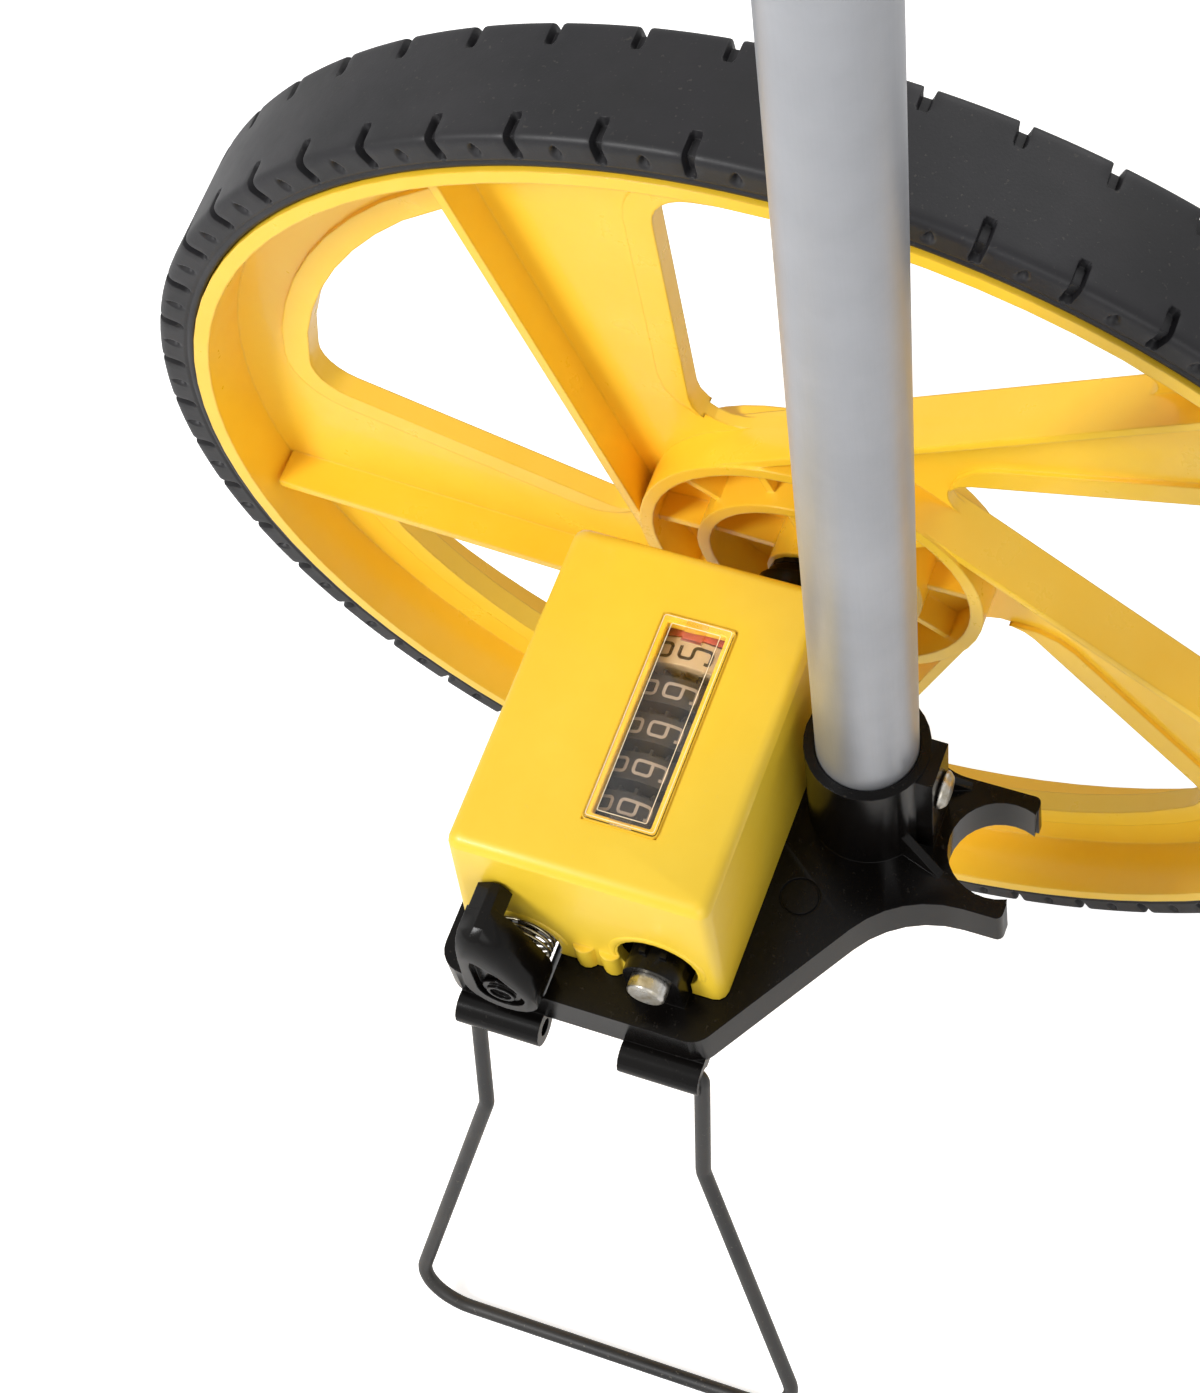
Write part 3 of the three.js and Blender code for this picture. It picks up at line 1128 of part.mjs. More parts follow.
function buildLeverScrew() {
  const y = LEVER_END_Y - LEVER_POCKET_DEPTH + SEAT_GAP;
  const shoulder = y + LEVER_SCREW_HEAD * HALF;
  const top = y + LEVER_SCREW_HEAD;
  const [r, ring] = [LEVER_SCREW_RADIUS, LEVER_SCREW_RING_RADIUS];
  const bowl = ring - LEVER_SCREW_RING_WALL;
  return spunY([[0, y], [r, y], [r, shoulder], [ring, shoulder], [ring, top], [bowl, top], [bowl, shoulder],
    [0, shoulder]], 20);
}

// The spring's turns, between a straight tail on the lever side and one on the flange side
function springRoute() {
  const points = [];
  const perTurn = 8;
  const steps = RESET_SPRING_TURNS * perTurn;
  const start = RESET_FLANGE_END_Y + RESET_SPRING_WIRE + RUNNING_GAP;
  const at = (k) => {
    const angle = 2 * Math.PI * k / perTurn;
    return new THREE.Vector3(RESET_SPRING_RADIUS * Math.cos(angle), start + RESET_SPRING_PITCH * k / perTurn,
      RESET_SPRING_RADIUS * Math.sin(angle));
  };
  const first = at(0).sub(at(1)).setY(0).setLength(RESET_SPRING_TAIL).add(at(0));
  const final = at(steps).sub(at(steps - 1)).setY(0).setLength(RESET_SPRING_TAIL).add(at(steps));
  points.push(first);
  for (let k = 0; k <= steps; k += 1) points.push(at(k));
  points.push(final);
  return points;
}

function leastGap(points, wireRadius) {
  let least = Infinity;
  for (let i = 0; i < points.length; i += 1) {
    for (let j = i + 5; j < points.length; j += 1) {
      least = Math.min(least, points[i].distanceTo(points[j]) - 2 * wireRadius);
    }
  }
  return least;
}

function buildResetSpring() {
  const points = springRoute();
  console.log('reset spring, least gap between turns in mm:', leastGap(points, RESET_SPRING_WIRE).toFixed(2));
  return wire(points, RESET_SPRING_WIRE, 5);
}

// Handle, in a frame that stands on the plate with Z up the tube

function buildLowerTube() {
  const screwBore = rodGeometry('x', SOCKET_SCREW_RADIUS + SEAT_GAP, -TUBE_RADIUS * 2, 0, 12);
  return cut(
    ringZ(TUBE_RADIUS - TUBE_WALL, TUBE_RADIUS, SEAT_GAP, LOWER_KNUCKLE_TOP - KNUCKLE_WALL, 32),
    solidOf(screwBore.translate(0, 0, SOCKET_SCREW_HEIGHT)),
  );
}

function buildSocketScrew() {
  const seat = -TUBE_BORE - SOCKET_WALL - SOCKET_PAD_DEPTH - SEAT_GAP;
  const r = SOCKET_SCREW_HEAD_RADIUS;
  const profile = [[0, 0], [r, 0], [r, SOCKET_SCREW_HEAD * SCREW_RIM_SHARE],
    [r * SCREW_DOME_FLAT_SHARE, SOCKET_SCREW_HEAD * SCREW_SHOULDER_SHARE], [0, SOCKET_SCREW_HEAD]];
  const points = profile.map(([radius, height]) => new THREE.Vector2(radius, height));
  const head = new THREE.LatheGeometry(points, 20).rotateZ(Math.PI / 2).translate(seat, 0, SOCKET_SCREW_HEIGHT);
  return joined(
    solidOf(head),
    solidOf(rodGeometry('x', SOCKET_SCREW_RADIUS, seat - SOCKET_SCREW_HEAD * HALF, -TUBE_RADIUS * HALF, 12)
      .translate(0, 0, SOCKET_SCREW_HEIGHT)),
  );
}

function buildLowerKnuckle() {
  const base = LOWER_KNUCKLE_TOP - KNUCKLE_LENGTH;
  const earOut = TONGUE_WIDTH * HALF + SEAT_GAP + EAR_WALL;
  const earIn = TONGUE_WIDTH * HALF + SEAT_GAP;
  const blockTop = LOWER_KNUCKLE_TOP - BUTTON_DROP * HALF + BUTTON_HEIGHT * HALF + BUTTON_BLOCK_WALL;
  const blockBase = blockTop - BUTTON_HEIGHT - 2 * BUTTON_BLOCK_WALL;
  const blockX = KNUCKLE_RADIUS + BUTTON_BLOCK_DEPTH;
  const blockHalf = BUTTON_WIDTH * HALF + BUTTON_BLOCK_WALL;
  const earRear = HINGE_X - KNUCKLE_WALL * HALF;
  return cut(
    joined(
      rodZ(KNUCKLE_RADIUS, base, LOWER_KNUCKLE_TOP, 0, 0, 32),
      box(earRear, -TUBE_RADIUS * HALF, -earOut, earOut, base + KNUCKLE_LENGTH * HALF, HINGE_HEIGHT),
      rodY(HINGE_EAR_RADIUS, -earOut, earOut, HINGE_X, HINGE_HEIGHT, 20),
      box(0, blockX, -blockHalf, blockHalf, blockBase, blockTop),
    ),
    rodZ(TUBE_BORE, base - CUT_OVERRUN, LOWER_KNUCKLE_TOP - KNUCKLE_WALL + SEAT_GAP, 0, 0, 32),
    box(HINGE_X * 2, -KNUCKLE_RADIUS + RUNNING_GAP, -earIn, earIn, base - CUT_OVERRUN, HINGE_HEIGHT * 2),
    box(HINGE_X * 2, HINGE_EAR_RADIUS, -earIn, earIn, LOWER_KNUCKLE_TOP, HINGE_HEIGHT * 2),
    box(-TUBE_RADIUS, TUBE_RADIUS, -earOut * 2, earOut * 2, HINGE_HEIGHT, HINGE_HEIGHT * 2),
    rodY(HINGE_PIN_RADIUS + SEAT_GAP, -earOut * 2, earOut * 2, HINGE_X, HINGE_HEIGHT, 12),
    box(KNUCKLE_RADIUS, blockX + CUT_OVERRUN, -BUTTON_WIDTH * HALF - SEAT_GAP, BUTTON_WIDTH * HALF + SEAT_GAP,
      blockBase + BUTTON_BLOCK_WALL - SEAT_GAP, blockTop - BUTTON_BLOCK_WALL + SEAT_GAP),
  );
}

function buildUpperKnuckle() {
  const top = UPPER_KNUCKLE_BASE + KNUCKLE_LENGTH;
  const half = TONGUE_WIDTH * HALF;
  return cut(
    joined(
      rodZ(KNUCKLE_RADIUS, UPPER_KNUCKLE_BASE, top, 0, 0, 32),
      box(HINGE_X - KNUCKLE_WALL * HALF, -TUBE_RADIUS * HALF, -half, half, HINGE_HEIGHT,
        top - KNUCKLE_LENGTH * HALF),
      rodY(HINGE_EAR_RADIUS, -half, half, HINGE_X, HINGE_HEIGHT, 20),
    ),
    box(-TUBE_RADIUS, TUBE_RADIUS, -half * 2, half * 2, 0, UPPER_KNUCKLE_BASE),
    rodZ(TUBE_BORE, UPPER_KNUCKLE_BASE + KNUCKLE_WALL, top + CUT_OVERRUN, 0, 0, 32),
    rodY(HINGE_PIN_RADIUS + SEAT_GAP, -half * 2, half * 2, HINGE_X, HINGE_HEIGHT, 12),
  );
}

function buildFoldPin() {
  const end = TONGUE_WIDTH * HALF + SEAT_GAP + EAR_WALL + SEAT_GAP;
  return joined(
    rodY(HINGE_PIN_RADIUS, -end - HINGE_PIN_HEAD, end + HINGE_PIN_HEAD, HINGE_X, HINGE_HEIGHT, 12),
    rodY(HINGE_PIN_HEAD_RADIUS, -end - HINGE_PIN_HEAD, -end, HINGE_X, HINGE_HEIGHT, 16),
    rodY(HINGE_PIN_HEAD_RADIUS, end, end + HINGE_PIN_HEAD, HINGE_X, HINGE_HEIGHT, 16),
  );
}

function buttonCentre() {
  return LOWER_KNUCKLE_TOP - BUTTON_DROP * HALF;
}

// The press button is hollow behind, where its spring stands on the sleeve
function buildLockButton() {
  const outer = KNUCKLE_RADIUS + BUTTON_BLOCK_DEPTH + BUTTON_PROUD;
  const middle = buttonCentre();
  const half = BUTTON_WIDTH * HALF;
  const boreEnd = lockSpringEnd() + BUTTON_TRAVEL + SEAT_GAP;
  const bore = rodGeometry('x', LOCK_SPRING_RADIUS + SEAT_GAP, BUTTON_SEAT_X - CUT_OVERRUN, boreEnd, 12);
  return cut(
    box(BUTTON_SEAT_X, outer, -half, half, middle - BUTTON_HEIGHT * HALF, middle + BUTTON_HEIGHT * HALF),
    solidOf(bore.translate(0, 0, middle)),
  );
}

function lockSpringEnd() {
  return BUTTON_SEAT_X + BUTTON_TRAVEL;
}

function buildLockSpring() {
  const body = rodGeometry('x', LOCK_SPRING_RADIUS, KNUCKLE_RADIUS + SEAT_GAP, lockSpringEnd(), 12);
  return solidOf(body.translate(0, 0, buttonCentre()));
}

function buildUpperTube() {
  const from = UPPER_KNUCKLE_BASE + KNUCKLE_WALL + SEAT_GAP;
  return ringZ(TUBE_RADIUS - TUBE_WALL, TUBE_RADIUS, from, HINGE_HEIGHT + UPPER_LENGTH - GRIP_CAP_HEIGHT, 32);
}

function buildGrip() {
  const top = HINGE_HEIGHT + UPPER_LENGTH - GRIP_CAP_HEIGHT;
  const base = top - GRIP_LENGTH;
  const step = GRIP_LENGTH / (GRIP_RING_COUNT + 1);
  const profile = [[TUBE_BORE, base], [GRIP_CAP_RADIUS, base], [GRIP_RADIUS, base + step * HALF * HALF]];
  for (let i = 0; i < GRIP_RING_COUNT; i += 1) {
    const z = base + step * (i + 1);
    profile.push([GRIP_RADIUS, z - GRIP_RING_DEPTH], [GRIP_RADIUS - GRIP_RING_DEPTH, z]);
    profile.push([GRIP_RADIUS, z + GRIP_RING_DEPTH]);
  }
  profile.push([GRIP_RADIUS, top - step * HALF * HALF], [GRIP_CAP_RADIUS, top], [TUBE_BORE, top]);
  profile.push([TUBE_BORE, base]);
  return spunZ(profile, 20);
}

function buildGripCap() {
  const from = HINGE_HEIGHT + UPPER_LENGTH - GRIP_CAP_HEIGHT + SEAT_GAP;
  const top = HINGE_HEIGHT + UPPER_LENGTH;
  const shoulder = top - GRIP_CAP_HEIGHT * HALF;
  const r = GRIP_CAP_RADIUS;
  return spunZ([[0, from], [r, from], [r, shoulder], [r * GRIP_CAP_TOP_SHARE, top], [0, top]], 24);
}

// Assembly

function group(...members) {
  const holder = new THREE.Group();
  holder.add(...members);
  return holder;
}

const atAxle = new THREE.Group();
atAxle.position.set(0, 0, TYRE_RADIUS);

atAxle.add(
  group(
    meshOf('wheel', buildWheel(), plastic(WHEEL_YELLOW, 0.35)),
    meshOf('tyre', buildTyre(), plastic(TYRE_GREY, 0.75)),
    meshOf('axle', buildAxle(), metal(STEEL_GREY)),
    meshOf('hub_washer_far', washer(FAR_WASHER_Y), metal(STEEL_GREY)),
    meshOf('hub_nut', buildNut(), metal(STEEL_GREY)),
    meshOf('hub_washer_near', washer(NEAR_WASHER_Y), plastic(BRACKET_BLACK)),
    meshOf('axle_clip', ringY(AXLE_BORE, AXLE_CLIP_RADIUS, NEAR_BOSS_START_Y - SEAT_GAP - AXLE_CLIP_THICKNESS,
      NEAR_BOSS_START_Y - SEAT_GAP, 16), metal(SPRING_STEEL)),
    meshOf('drive_gear', buildDriveGear(), plastic(DRUM_PALE)),
  ),
  group(
    meshOf('bracket', buildBracket(), plastic(BRACKET_BLACK, 0.3)),
    meshOf('axle_bush', buildBush(), plastic(BRACKET_BLACK)),
    meshOf('counter_frame', buildCounterFrame(), plastic(DRUM_BLACK)),
    meshOf('counter_cover', buildCover(), plastic(COVER_YELLOW, 0.35)),
    meshOf('window_lens', buildLens(), new THREE.MeshStandardMaterial({
      color: LENS_CLEAR, roughness: 0.05, metalness: 0, transparent: true, opacity: 0.35,
    })),
    ...plateScrews('cover_screw', coverScrewPlaces(), SCREW_LENGTH),
    ...plateScrews('frame_screw', frameScrewPlaces(), FRAME_SCREW_LENGTH),
    meshOf('drum_shaft', worksShaft(DRUM_SHAFT_RADIUS, DRUM_X, DRUM_RISE), metal(STEEL_GREY)),
    meshOf('pinion_shaft', worksShaft(PINION_SHAFT_RADIUS, PINION_X, PINION_Z), metal(STEEL_GREY)),
  ),
);

const drumGroup = group(meshOf('input_gear', buildInputGear(), plastic(DRUM_RED)));
for (let i = 0; i < DIGIT_COUNT; i += 1) {
  drumGroup.add(meshOf(`digit_drum_${i + 1}`, buildDrum(i), plastic(i === 0 ? DRUM_PALE : DRUM_BLACK)));
}
for (let i = 1; i < DIGIT_COUNT; i += 1) {
  drumGroup.add(meshOf(`transfer_pinion_${i}`, buildPinion(i), plastic(DRUM_PALE)));
}
atAxle.add(drumGroup);

const resetGroup = group(
  meshOf('reset_shaft', buildResetShaft(), metal(STEEL_GREY)),
  meshOf('reset_lever', buildLever(), plastic(BRACKET_BLACK, 0.3)),
  meshOf('lever_screw', buildLeverScrew(), plastic(BRACKET_BLACK, 0.3)),
  meshOf('reset_spring', buildResetSpring(), metal(SPRING_STEEL)),
);
resetGroup.position.set(RESET_X, 0, -RESET_DROP);
atAxle.add(resetGroup);

const standGroup = group(meshOf('kickstand', buildStand(), plastic(BRACKET_BLACK, 0.45)));
standGroup.position.set(0, STAND_AXIS_Y, STAND_AXIS_Z);
atAxle.add(standGroup);

const handleGroup = group(
  meshOf('lower_tube', buildLowerTube(), metal(TUBE_SILVER)),
  meshOf('socket_screw', buildSocketScrew(), metal(STEEL_GREY)),
  meshOf('lower_knuckle', buildLowerKnuckle(), plastic(BRACKET_BLACK)),
  meshOf('fold_pin', buildFoldPin(), metal(STEEL_GREY)),
  meshOf('lock_button', buildLockButton(), plastic(DRUM_RED)),
  meshOf('lock_spring', buildLockSpring(), metal(SPRING_STEEL)),
  meshOf('upper_knuckle', buildUpperKnuckle(), plastic(BRACKET_BLACK)),
  meshOf('upper_tube', buildUpperTube(), metal(TUBE_SILVER)),
  meshOf('grip', buildGrip(), plastic(GRIP_BLACK, 0.7)),
  meshOf('grip_cap', buildGripCap(), plastic(GRIP_BLACK, 0.5)),
);
handleGroup.position.set(HANDLE_X, HANDLE_Y, PLATE_TOP);
handleGroup.rotation.y = -radians(HANDLE_LEAN_DEG);
atAxle.add(handleGroup);

export default group(atAxle);
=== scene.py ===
# %% [markdown]
# A measuring wheel rolls along the ground and its counter turns one drum figure for every metre.
# The imported solids already hold every size and joint, so this script only dresses them. It loads
# the solids first and then makes finer pieces around them. The tyre is one metre round, so the
# axle stands at one metre over two pi.

import json
import math

import bmesh
import bpy
import numpy as np
from mathutils import Matrix, Vector


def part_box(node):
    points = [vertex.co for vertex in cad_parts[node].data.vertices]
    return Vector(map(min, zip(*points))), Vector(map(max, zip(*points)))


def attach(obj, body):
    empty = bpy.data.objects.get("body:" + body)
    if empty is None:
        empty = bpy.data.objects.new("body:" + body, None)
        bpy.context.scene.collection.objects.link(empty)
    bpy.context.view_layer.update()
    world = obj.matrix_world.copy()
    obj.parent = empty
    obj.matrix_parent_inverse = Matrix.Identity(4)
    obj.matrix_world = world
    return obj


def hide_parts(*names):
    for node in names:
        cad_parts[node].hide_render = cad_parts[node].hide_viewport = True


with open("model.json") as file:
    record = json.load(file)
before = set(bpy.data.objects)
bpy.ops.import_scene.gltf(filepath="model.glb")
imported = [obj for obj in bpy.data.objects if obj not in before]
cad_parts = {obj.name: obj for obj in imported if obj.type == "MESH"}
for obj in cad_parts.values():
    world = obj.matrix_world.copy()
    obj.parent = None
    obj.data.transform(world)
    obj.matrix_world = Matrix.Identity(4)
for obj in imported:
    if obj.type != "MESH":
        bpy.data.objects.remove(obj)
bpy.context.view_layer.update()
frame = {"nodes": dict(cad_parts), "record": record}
NODES = frame["nodes"]
MM = 0.001
TURN = 2 * math.pi
AXLE_HEIGHT = 1 / TURN

# %% [markdown]
# The camera stands where the photographer's lens was: high on the counter's side and looking
# down, so that the picture's right is about the object's -X and its down is about +Y. The
# three rows below are the picture's right, down and forward directions. Blender's camera looks
# along its own minus Z with plus Y up, so the columns are right, minus down and minus forward.

# %% Camera
CAMERA_PLACE = (-0.164309, 0.340907, 0.818476)
PICTURE_RIGHT = (-0.92810304, -0.3491558, -0.12928643)
PICTURE_DOWN = (-0.2593576, 0.85541553, -0.44832791)
PICTURE_FORWARD = (0.2671299, -0.38256308, -0.88446996)
CAMERA_LENS_MM = 85.4087
CAMERA_SENSOR_MM = 36
CAMERA_CLIP = (0.01, 30)

camera_data = bpy.data.cameras.new("camera")
camera = bpy.data.objects.new("camera", camera_data)
bpy.context.scene.collection.objects.link(camera)
columns = [np.array(PICTURE_RIGHT), -np.array(PICTURE_DOWN), -np.array(PICTURE_FORWARD)]
camera.matrix_world = Matrix.Translation(CAMERA_PLACE) @ Matrix(np.array(columns).T).to_4x4()
camera_data.sensor_fit = "AUTO"
camera_data.sensor_width = CAMERA_SENSOR_MM
camera_data.lens = CAMERA_LENS_MM
camera_data.clip_start, camera_data.clip_end = CAMERA_CLIP
bpy.context.scene.camera = camera
print("camera at", [round(v, 3) for v in camera.location])

# %% [markdown]
# The photo was taken on a bright white sweep. The floor is lifted towards white for the camera
# alone, and the world is white to the camera, to mirrors and to clear plastic, while the light
# that they give to the object stays at a plain level. Three soft lamps stand in for the
# studio's boxes: one high on the camera's left, one lower on its right, and one from behind.

# %% Floor, backdrop and light
FLOOR_WHITE = 0.96
WORLD_LIGHT = 0.32
FLOOR_LIFT = 0.68
FLOOR_ROUGHNESS = 0.85
FLOOR_HALF = 6.0
FLOOR_DROP = 0.0002
FLOOR_CORNERS = ((-1, -1), (1, -1), (1, 1), (-1, 1))
WHITE = (1, 1, 1, 1)


def new_material(name):
    """An empty node material with a Principled surface and an output, ready for more nodes."""
    material = bpy.data.materials.new(name)
    material.use_nodes = True
    tree = material.node_tree
    return material, tree, tree.nodes["Principled BSDF"]


def node(tree, kind, inputs=None, **settings):
    """Adds one node, sets its properties, and links or fills the inputs that are given by name or number."""
    made = tree.nodes.new("ShaderNode" + kind)
    for key, value in settings.items():
        setattr(made, key, value)
    for key, value in (inputs or {}).items():
        if isinstance(value, bpy.types.NodeSocket):
            tree.links.new(value, made.inputs[key])
        else:
            made.inputs[key].default_value = value
    return made


def ramp(tree, value, limits=(0.0, 1.0), spread=(0.0, 1.0)):
    """A value's place between two limits, held there and spread over another range."""
    inputs = {"Value": value, "From Min": limits[0], "From Max": limits[1],
              "To Min": spread[0], "To Max": spread[1]}
    return node(tree, "MapRange", inputs).outputs["Result"]


def maths(tree, operation, first, second, clamp=False):
    """Two values put together by one operation."""
    return node(tree, "Math", {0: first, 1: second}, operation=operation, use_clamp=clamp).outputs[0]


def set_scene_world():
    """The world is a soft grey light, but plain white to the camera, to mirrors and to clear plastic."""
    world = bpy.data.worlds.new("studio")
    bpy.context.scene.world = world
    world.use_nodes = True
    tree = world.node_tree
    paths = node(tree, "LightPath").outputs
    seen = maths(tree, "MAXIMUM", paths["Is Camera Ray"], paths["Is Transmission Ray"])
    mirrored = maths(tree, "MAXIMUM", seen, paths["Is Glossy Ray"])
    background = tree.nodes["Background"]
    tree.links.new(ramp(tree, mirrored, spread=(WORLD_LIGHT, 1.0)), background.inputs["Strength"])
    background.inputs["Color"].default_value = WHITE


def soft_lamp(name, place, target, size, power):
    """A square area lamp of a width in metres and a power in watts, turned to face its target."""
    data = bpy.data.lights.new(name, "AREA")
    data.size = size
    data.energy = power
    lamp = bpy.data.objects.new(name, data)
    bpy.context.scene.collection.objects.link(lamp)
    lamp.location = place
    lamp.rotation_euler = (Vector(target) - Vector(place)).to_track_quat("-Z", "Y").to_euler()


LAMPS = (
    ("key", (0.95, 1.1, 1.4), (0, 0.05, 0.15), 0.5, 25.5),
    ("fill", (-0.9, 1.5, 0.9), (0, 0.05, 0.15), 1.2, 8),
    ("rim", (-0.5, -1.4, 1.3), (0, 0.0, 0.2), 1.0, 8),
)
set_scene_world()
for lamp_row in LAMPS:
    soft_lamp(*lamp_row)

floor_mesh = bpy.data.meshes.new("floor")
floor_places = [(x * FLOOR_HALF, y * FLOOR_HALF, -FLOOR_DROP) for x, y in FLOOR_CORNERS]
floor_mesh.from_pydata(floor_places, [], [(0, 1, 2, 3)])
floor = bpy.data.objects.new("floor", floor_mesh)
bpy.context.scene.collection.objects.link(floor)
floor_material, floor_tree, floor_surface = new_material("floor_white")
floor_surface.inputs["Base Color"].default_value = (FLOOR_WHITE, FLOOR_WHITE, FLOOR_WHITE, 1)
floor_surface.inputs["Roughness"].default_value = FLOOR_ROUGHNESS
floor_paths = node(floor_tree, "LightPath").outputs
floor_seen = maths(floor_tree, "MULTIPLY", floor_paths["Is Camera Ray"], FLOOR_LIFT)
floor_surface.inputs["Emission Color"].default_value = WHITE
floor_tree.links.new(floor_seen, floor_surface.inputs["Emission Strength"])
floor_mesh.materials.append(floor_material)

# %% [markdown]
# Three effects come up again on nearly every finish, so each is one node group with named
# inputs. Edges bends the shading normal near sharp corners, as a mould's small radius does, and
# marks where those corners wear. Grain is the fine unevenness of a moulded or cast skin, and
# settled dust gathers on faces that look up.


# %% Shared shader groups
EDGE_SAMPLES, EDGE_COSINES, EDGE_PATCH_SCALE, EDGE_PATCHES = 4, (0.98, 0.75), 190.0, (0.42, 0.62)
MOTTLE_LIMITS = (0.3, 0.7)
DUST_FACING, DUST_LEAST = (-0.2, 1.0), 0.15
SPECK_SCALE, SPECK_LIMITS = 900.0, (0.66, 0.74)
FILM_SCALE, FILM_LIMITS, FILM_MOST = 26.0, (0.4, 0.8), 0.25


def group_tree(name, inputs, outputs):
    """A shader node group with named sockets: (name, type, default) inputs and (name, type) outputs."""
    tree = bpy.data.node_groups.new(name, "ShaderNodeTree")
    for label, kind, default in inputs:
        socket = tree.interface.new_socket(label, in_out="INPUT", socket_type="NodeSocket" + kind)
        if default is not None:
            socket.default_value = default
    for label, kind in outputs:
        tree.interface.new_socket(label, in_out="OUTPUT", socket_type="NodeSocket" + kind)
    return tree, tree.nodes.new("NodeGroupInput"), tree.nodes.new("NodeGroupOutput")


def noise(tree, place, scale, detail, roughness=0.5):
    """A noise texture's value at a place."""
    inputs = {"Vector": place, "Scale": scale, "Detail": detail, "Roughness": roughness}
    return node(tree, "TexNoise", inputs).outputs["Fac"]


def make_edge_group():
    """The bevelled normal near edges, and the wear where it leaves the true normal, broken up by noise."""
    tree, start, end = group_tree(
        "edges",
        [("Vector", "Vector", None), ("Radius", "Float", 0.0004), ("Wear", "Float", 0.3)],
        [("Normal", "Vector"), ("Worn", "Float")],
    )
    bevel = node(tree, "Bevel", {"Radius": start.outputs["Radius"]}, samples=EDGE_SAMPLES).outputs["Normal"]
    true_normal = node(tree, "NewGeometry").outputs["Normal"]
    facing = node(tree, "VectorMath", {0: bevel, 1: true_normal}, operation="DOT_PRODUCT")
    turned = ramp(tree, facing.outputs["Value"], EDGE_COSINES)
    broken = ramp(tree, noise(tree, start.outputs["Vector"], EDGE_PATCH_SCALE, detail=4.0), EDGE_PATCHES)
    worn = maths(tree, "MULTIPLY", maths(tree, "MULTIPLY", turned, broken), start.outputs["Wear"])
    tree.links.new(bevel, end.inputs["Normal"])
    tree.links.new(worn, end.inputs["Worn"])
    return tree


def make_grain_group():
    """Moulded grain: a fine noise height, and a slow mottle from 0 to 1 for colour and gloss."""
    tree, start, end = group_tree(
        "moulded_grain",
        [("Vector", "Vector", None), ("Fineness", "Float", 2600.0), ("Mottle Size", "Float", 55.0)],
        [("Height", "Float"), ("Mottle", "Float")],
    )
    fine = noise(tree, start.outputs["Vector"], start.outputs["Fineness"], detail=3.0, roughness=0.6)
    slow = noise(tree, start.outputs["Vector"], start.outputs["Mottle Size"], detail=5.0, roughness=0.62)
    tree.links.new(fine, end.inputs["Height"])
    tree.links.new(ramp(tree, slow, MOTTLE_LIMITS), end.inputs["Mottle"])
    return tree


def make_dust_group():
    """Settled dust: specks and a thin film, strongest on faces that look up."""
    tree, start, end = group_tree(
        "settled_dust",
        [("Vector", "Vector", None), ("Amount", "Float", 0.2)],
        [("Dust", "Float")],
    )
    split = node(tree, "SeparateXYZ", {"Vector": node(tree, "NewGeometry").outputs["Normal"]})
    upward = ramp(tree, split.outputs["Z"], DUST_FACING, (DUST_LEAST, 1.0))
    place = start.outputs["Vector"]
    specks = ramp(tree, noise(tree, place, SPECK_SCALE, detail=2.0), SPECK_LIMITS)
    film = ramp(tree, noise(tree, place, FILM_SCALE, detail=6.0), FILM_LIMITS, (0.0, FILM_MOST))
    lying = maths(tree, "MULTIPLY", maths(tree, "MAXIMUM", specks, film), upward)
    tree.links.new(maths(tree, "MULTIPLY", lying, start.outputs["Amount"], clamp=True), end.inputs["Dust"])
    return tree


EDGES = make_edge_group()
GRAIN = make_grain_group()
DUST = make_dust_group()
print("groups", EDGES.name, GRAIN.name, DUST.name)

# %% [markdown]
# Each finish then mixes these effects in its own way. Colours are written as the photo's
# display values and turned into linear light once, by the usual curve. A Mix node's colour
# sockets are found by their number, because several of its inputs share a name.


# %% Skin of a moulded piece
MIX_LOW, MIX_HIGH, MIX_RESULT = 6, 7, 2
GRAIN_DEPTH = 0.0002


def linear(rgb):
    """Display values from 0 to 255 as linear light: the standard display curve, undone."""
    share = np.array(rgb) / 255
    light = np.where(share <= 0.04045, share / 12.92, ((share + 0.055) / 1.055) ** 2.4)
    return (*[float(v) for v in light], 1.0)


def use_group(tree, group, inputs):
    """Places a node group in a material with its own values."""
    return node(tree, "Group", inputs, node_tree=group)


def mixed(tree, factor, low, high):
    """A colour between two, by a factor socket."""
    inputs = {0: factor, MIX_LOW: low, MIX_HIGH: high}
    return node(tree, "Mix", inputs, data_type="RGBA").outputs[MIX_RESULT]


DUST_COLOUR = linear((196, 186, 170))


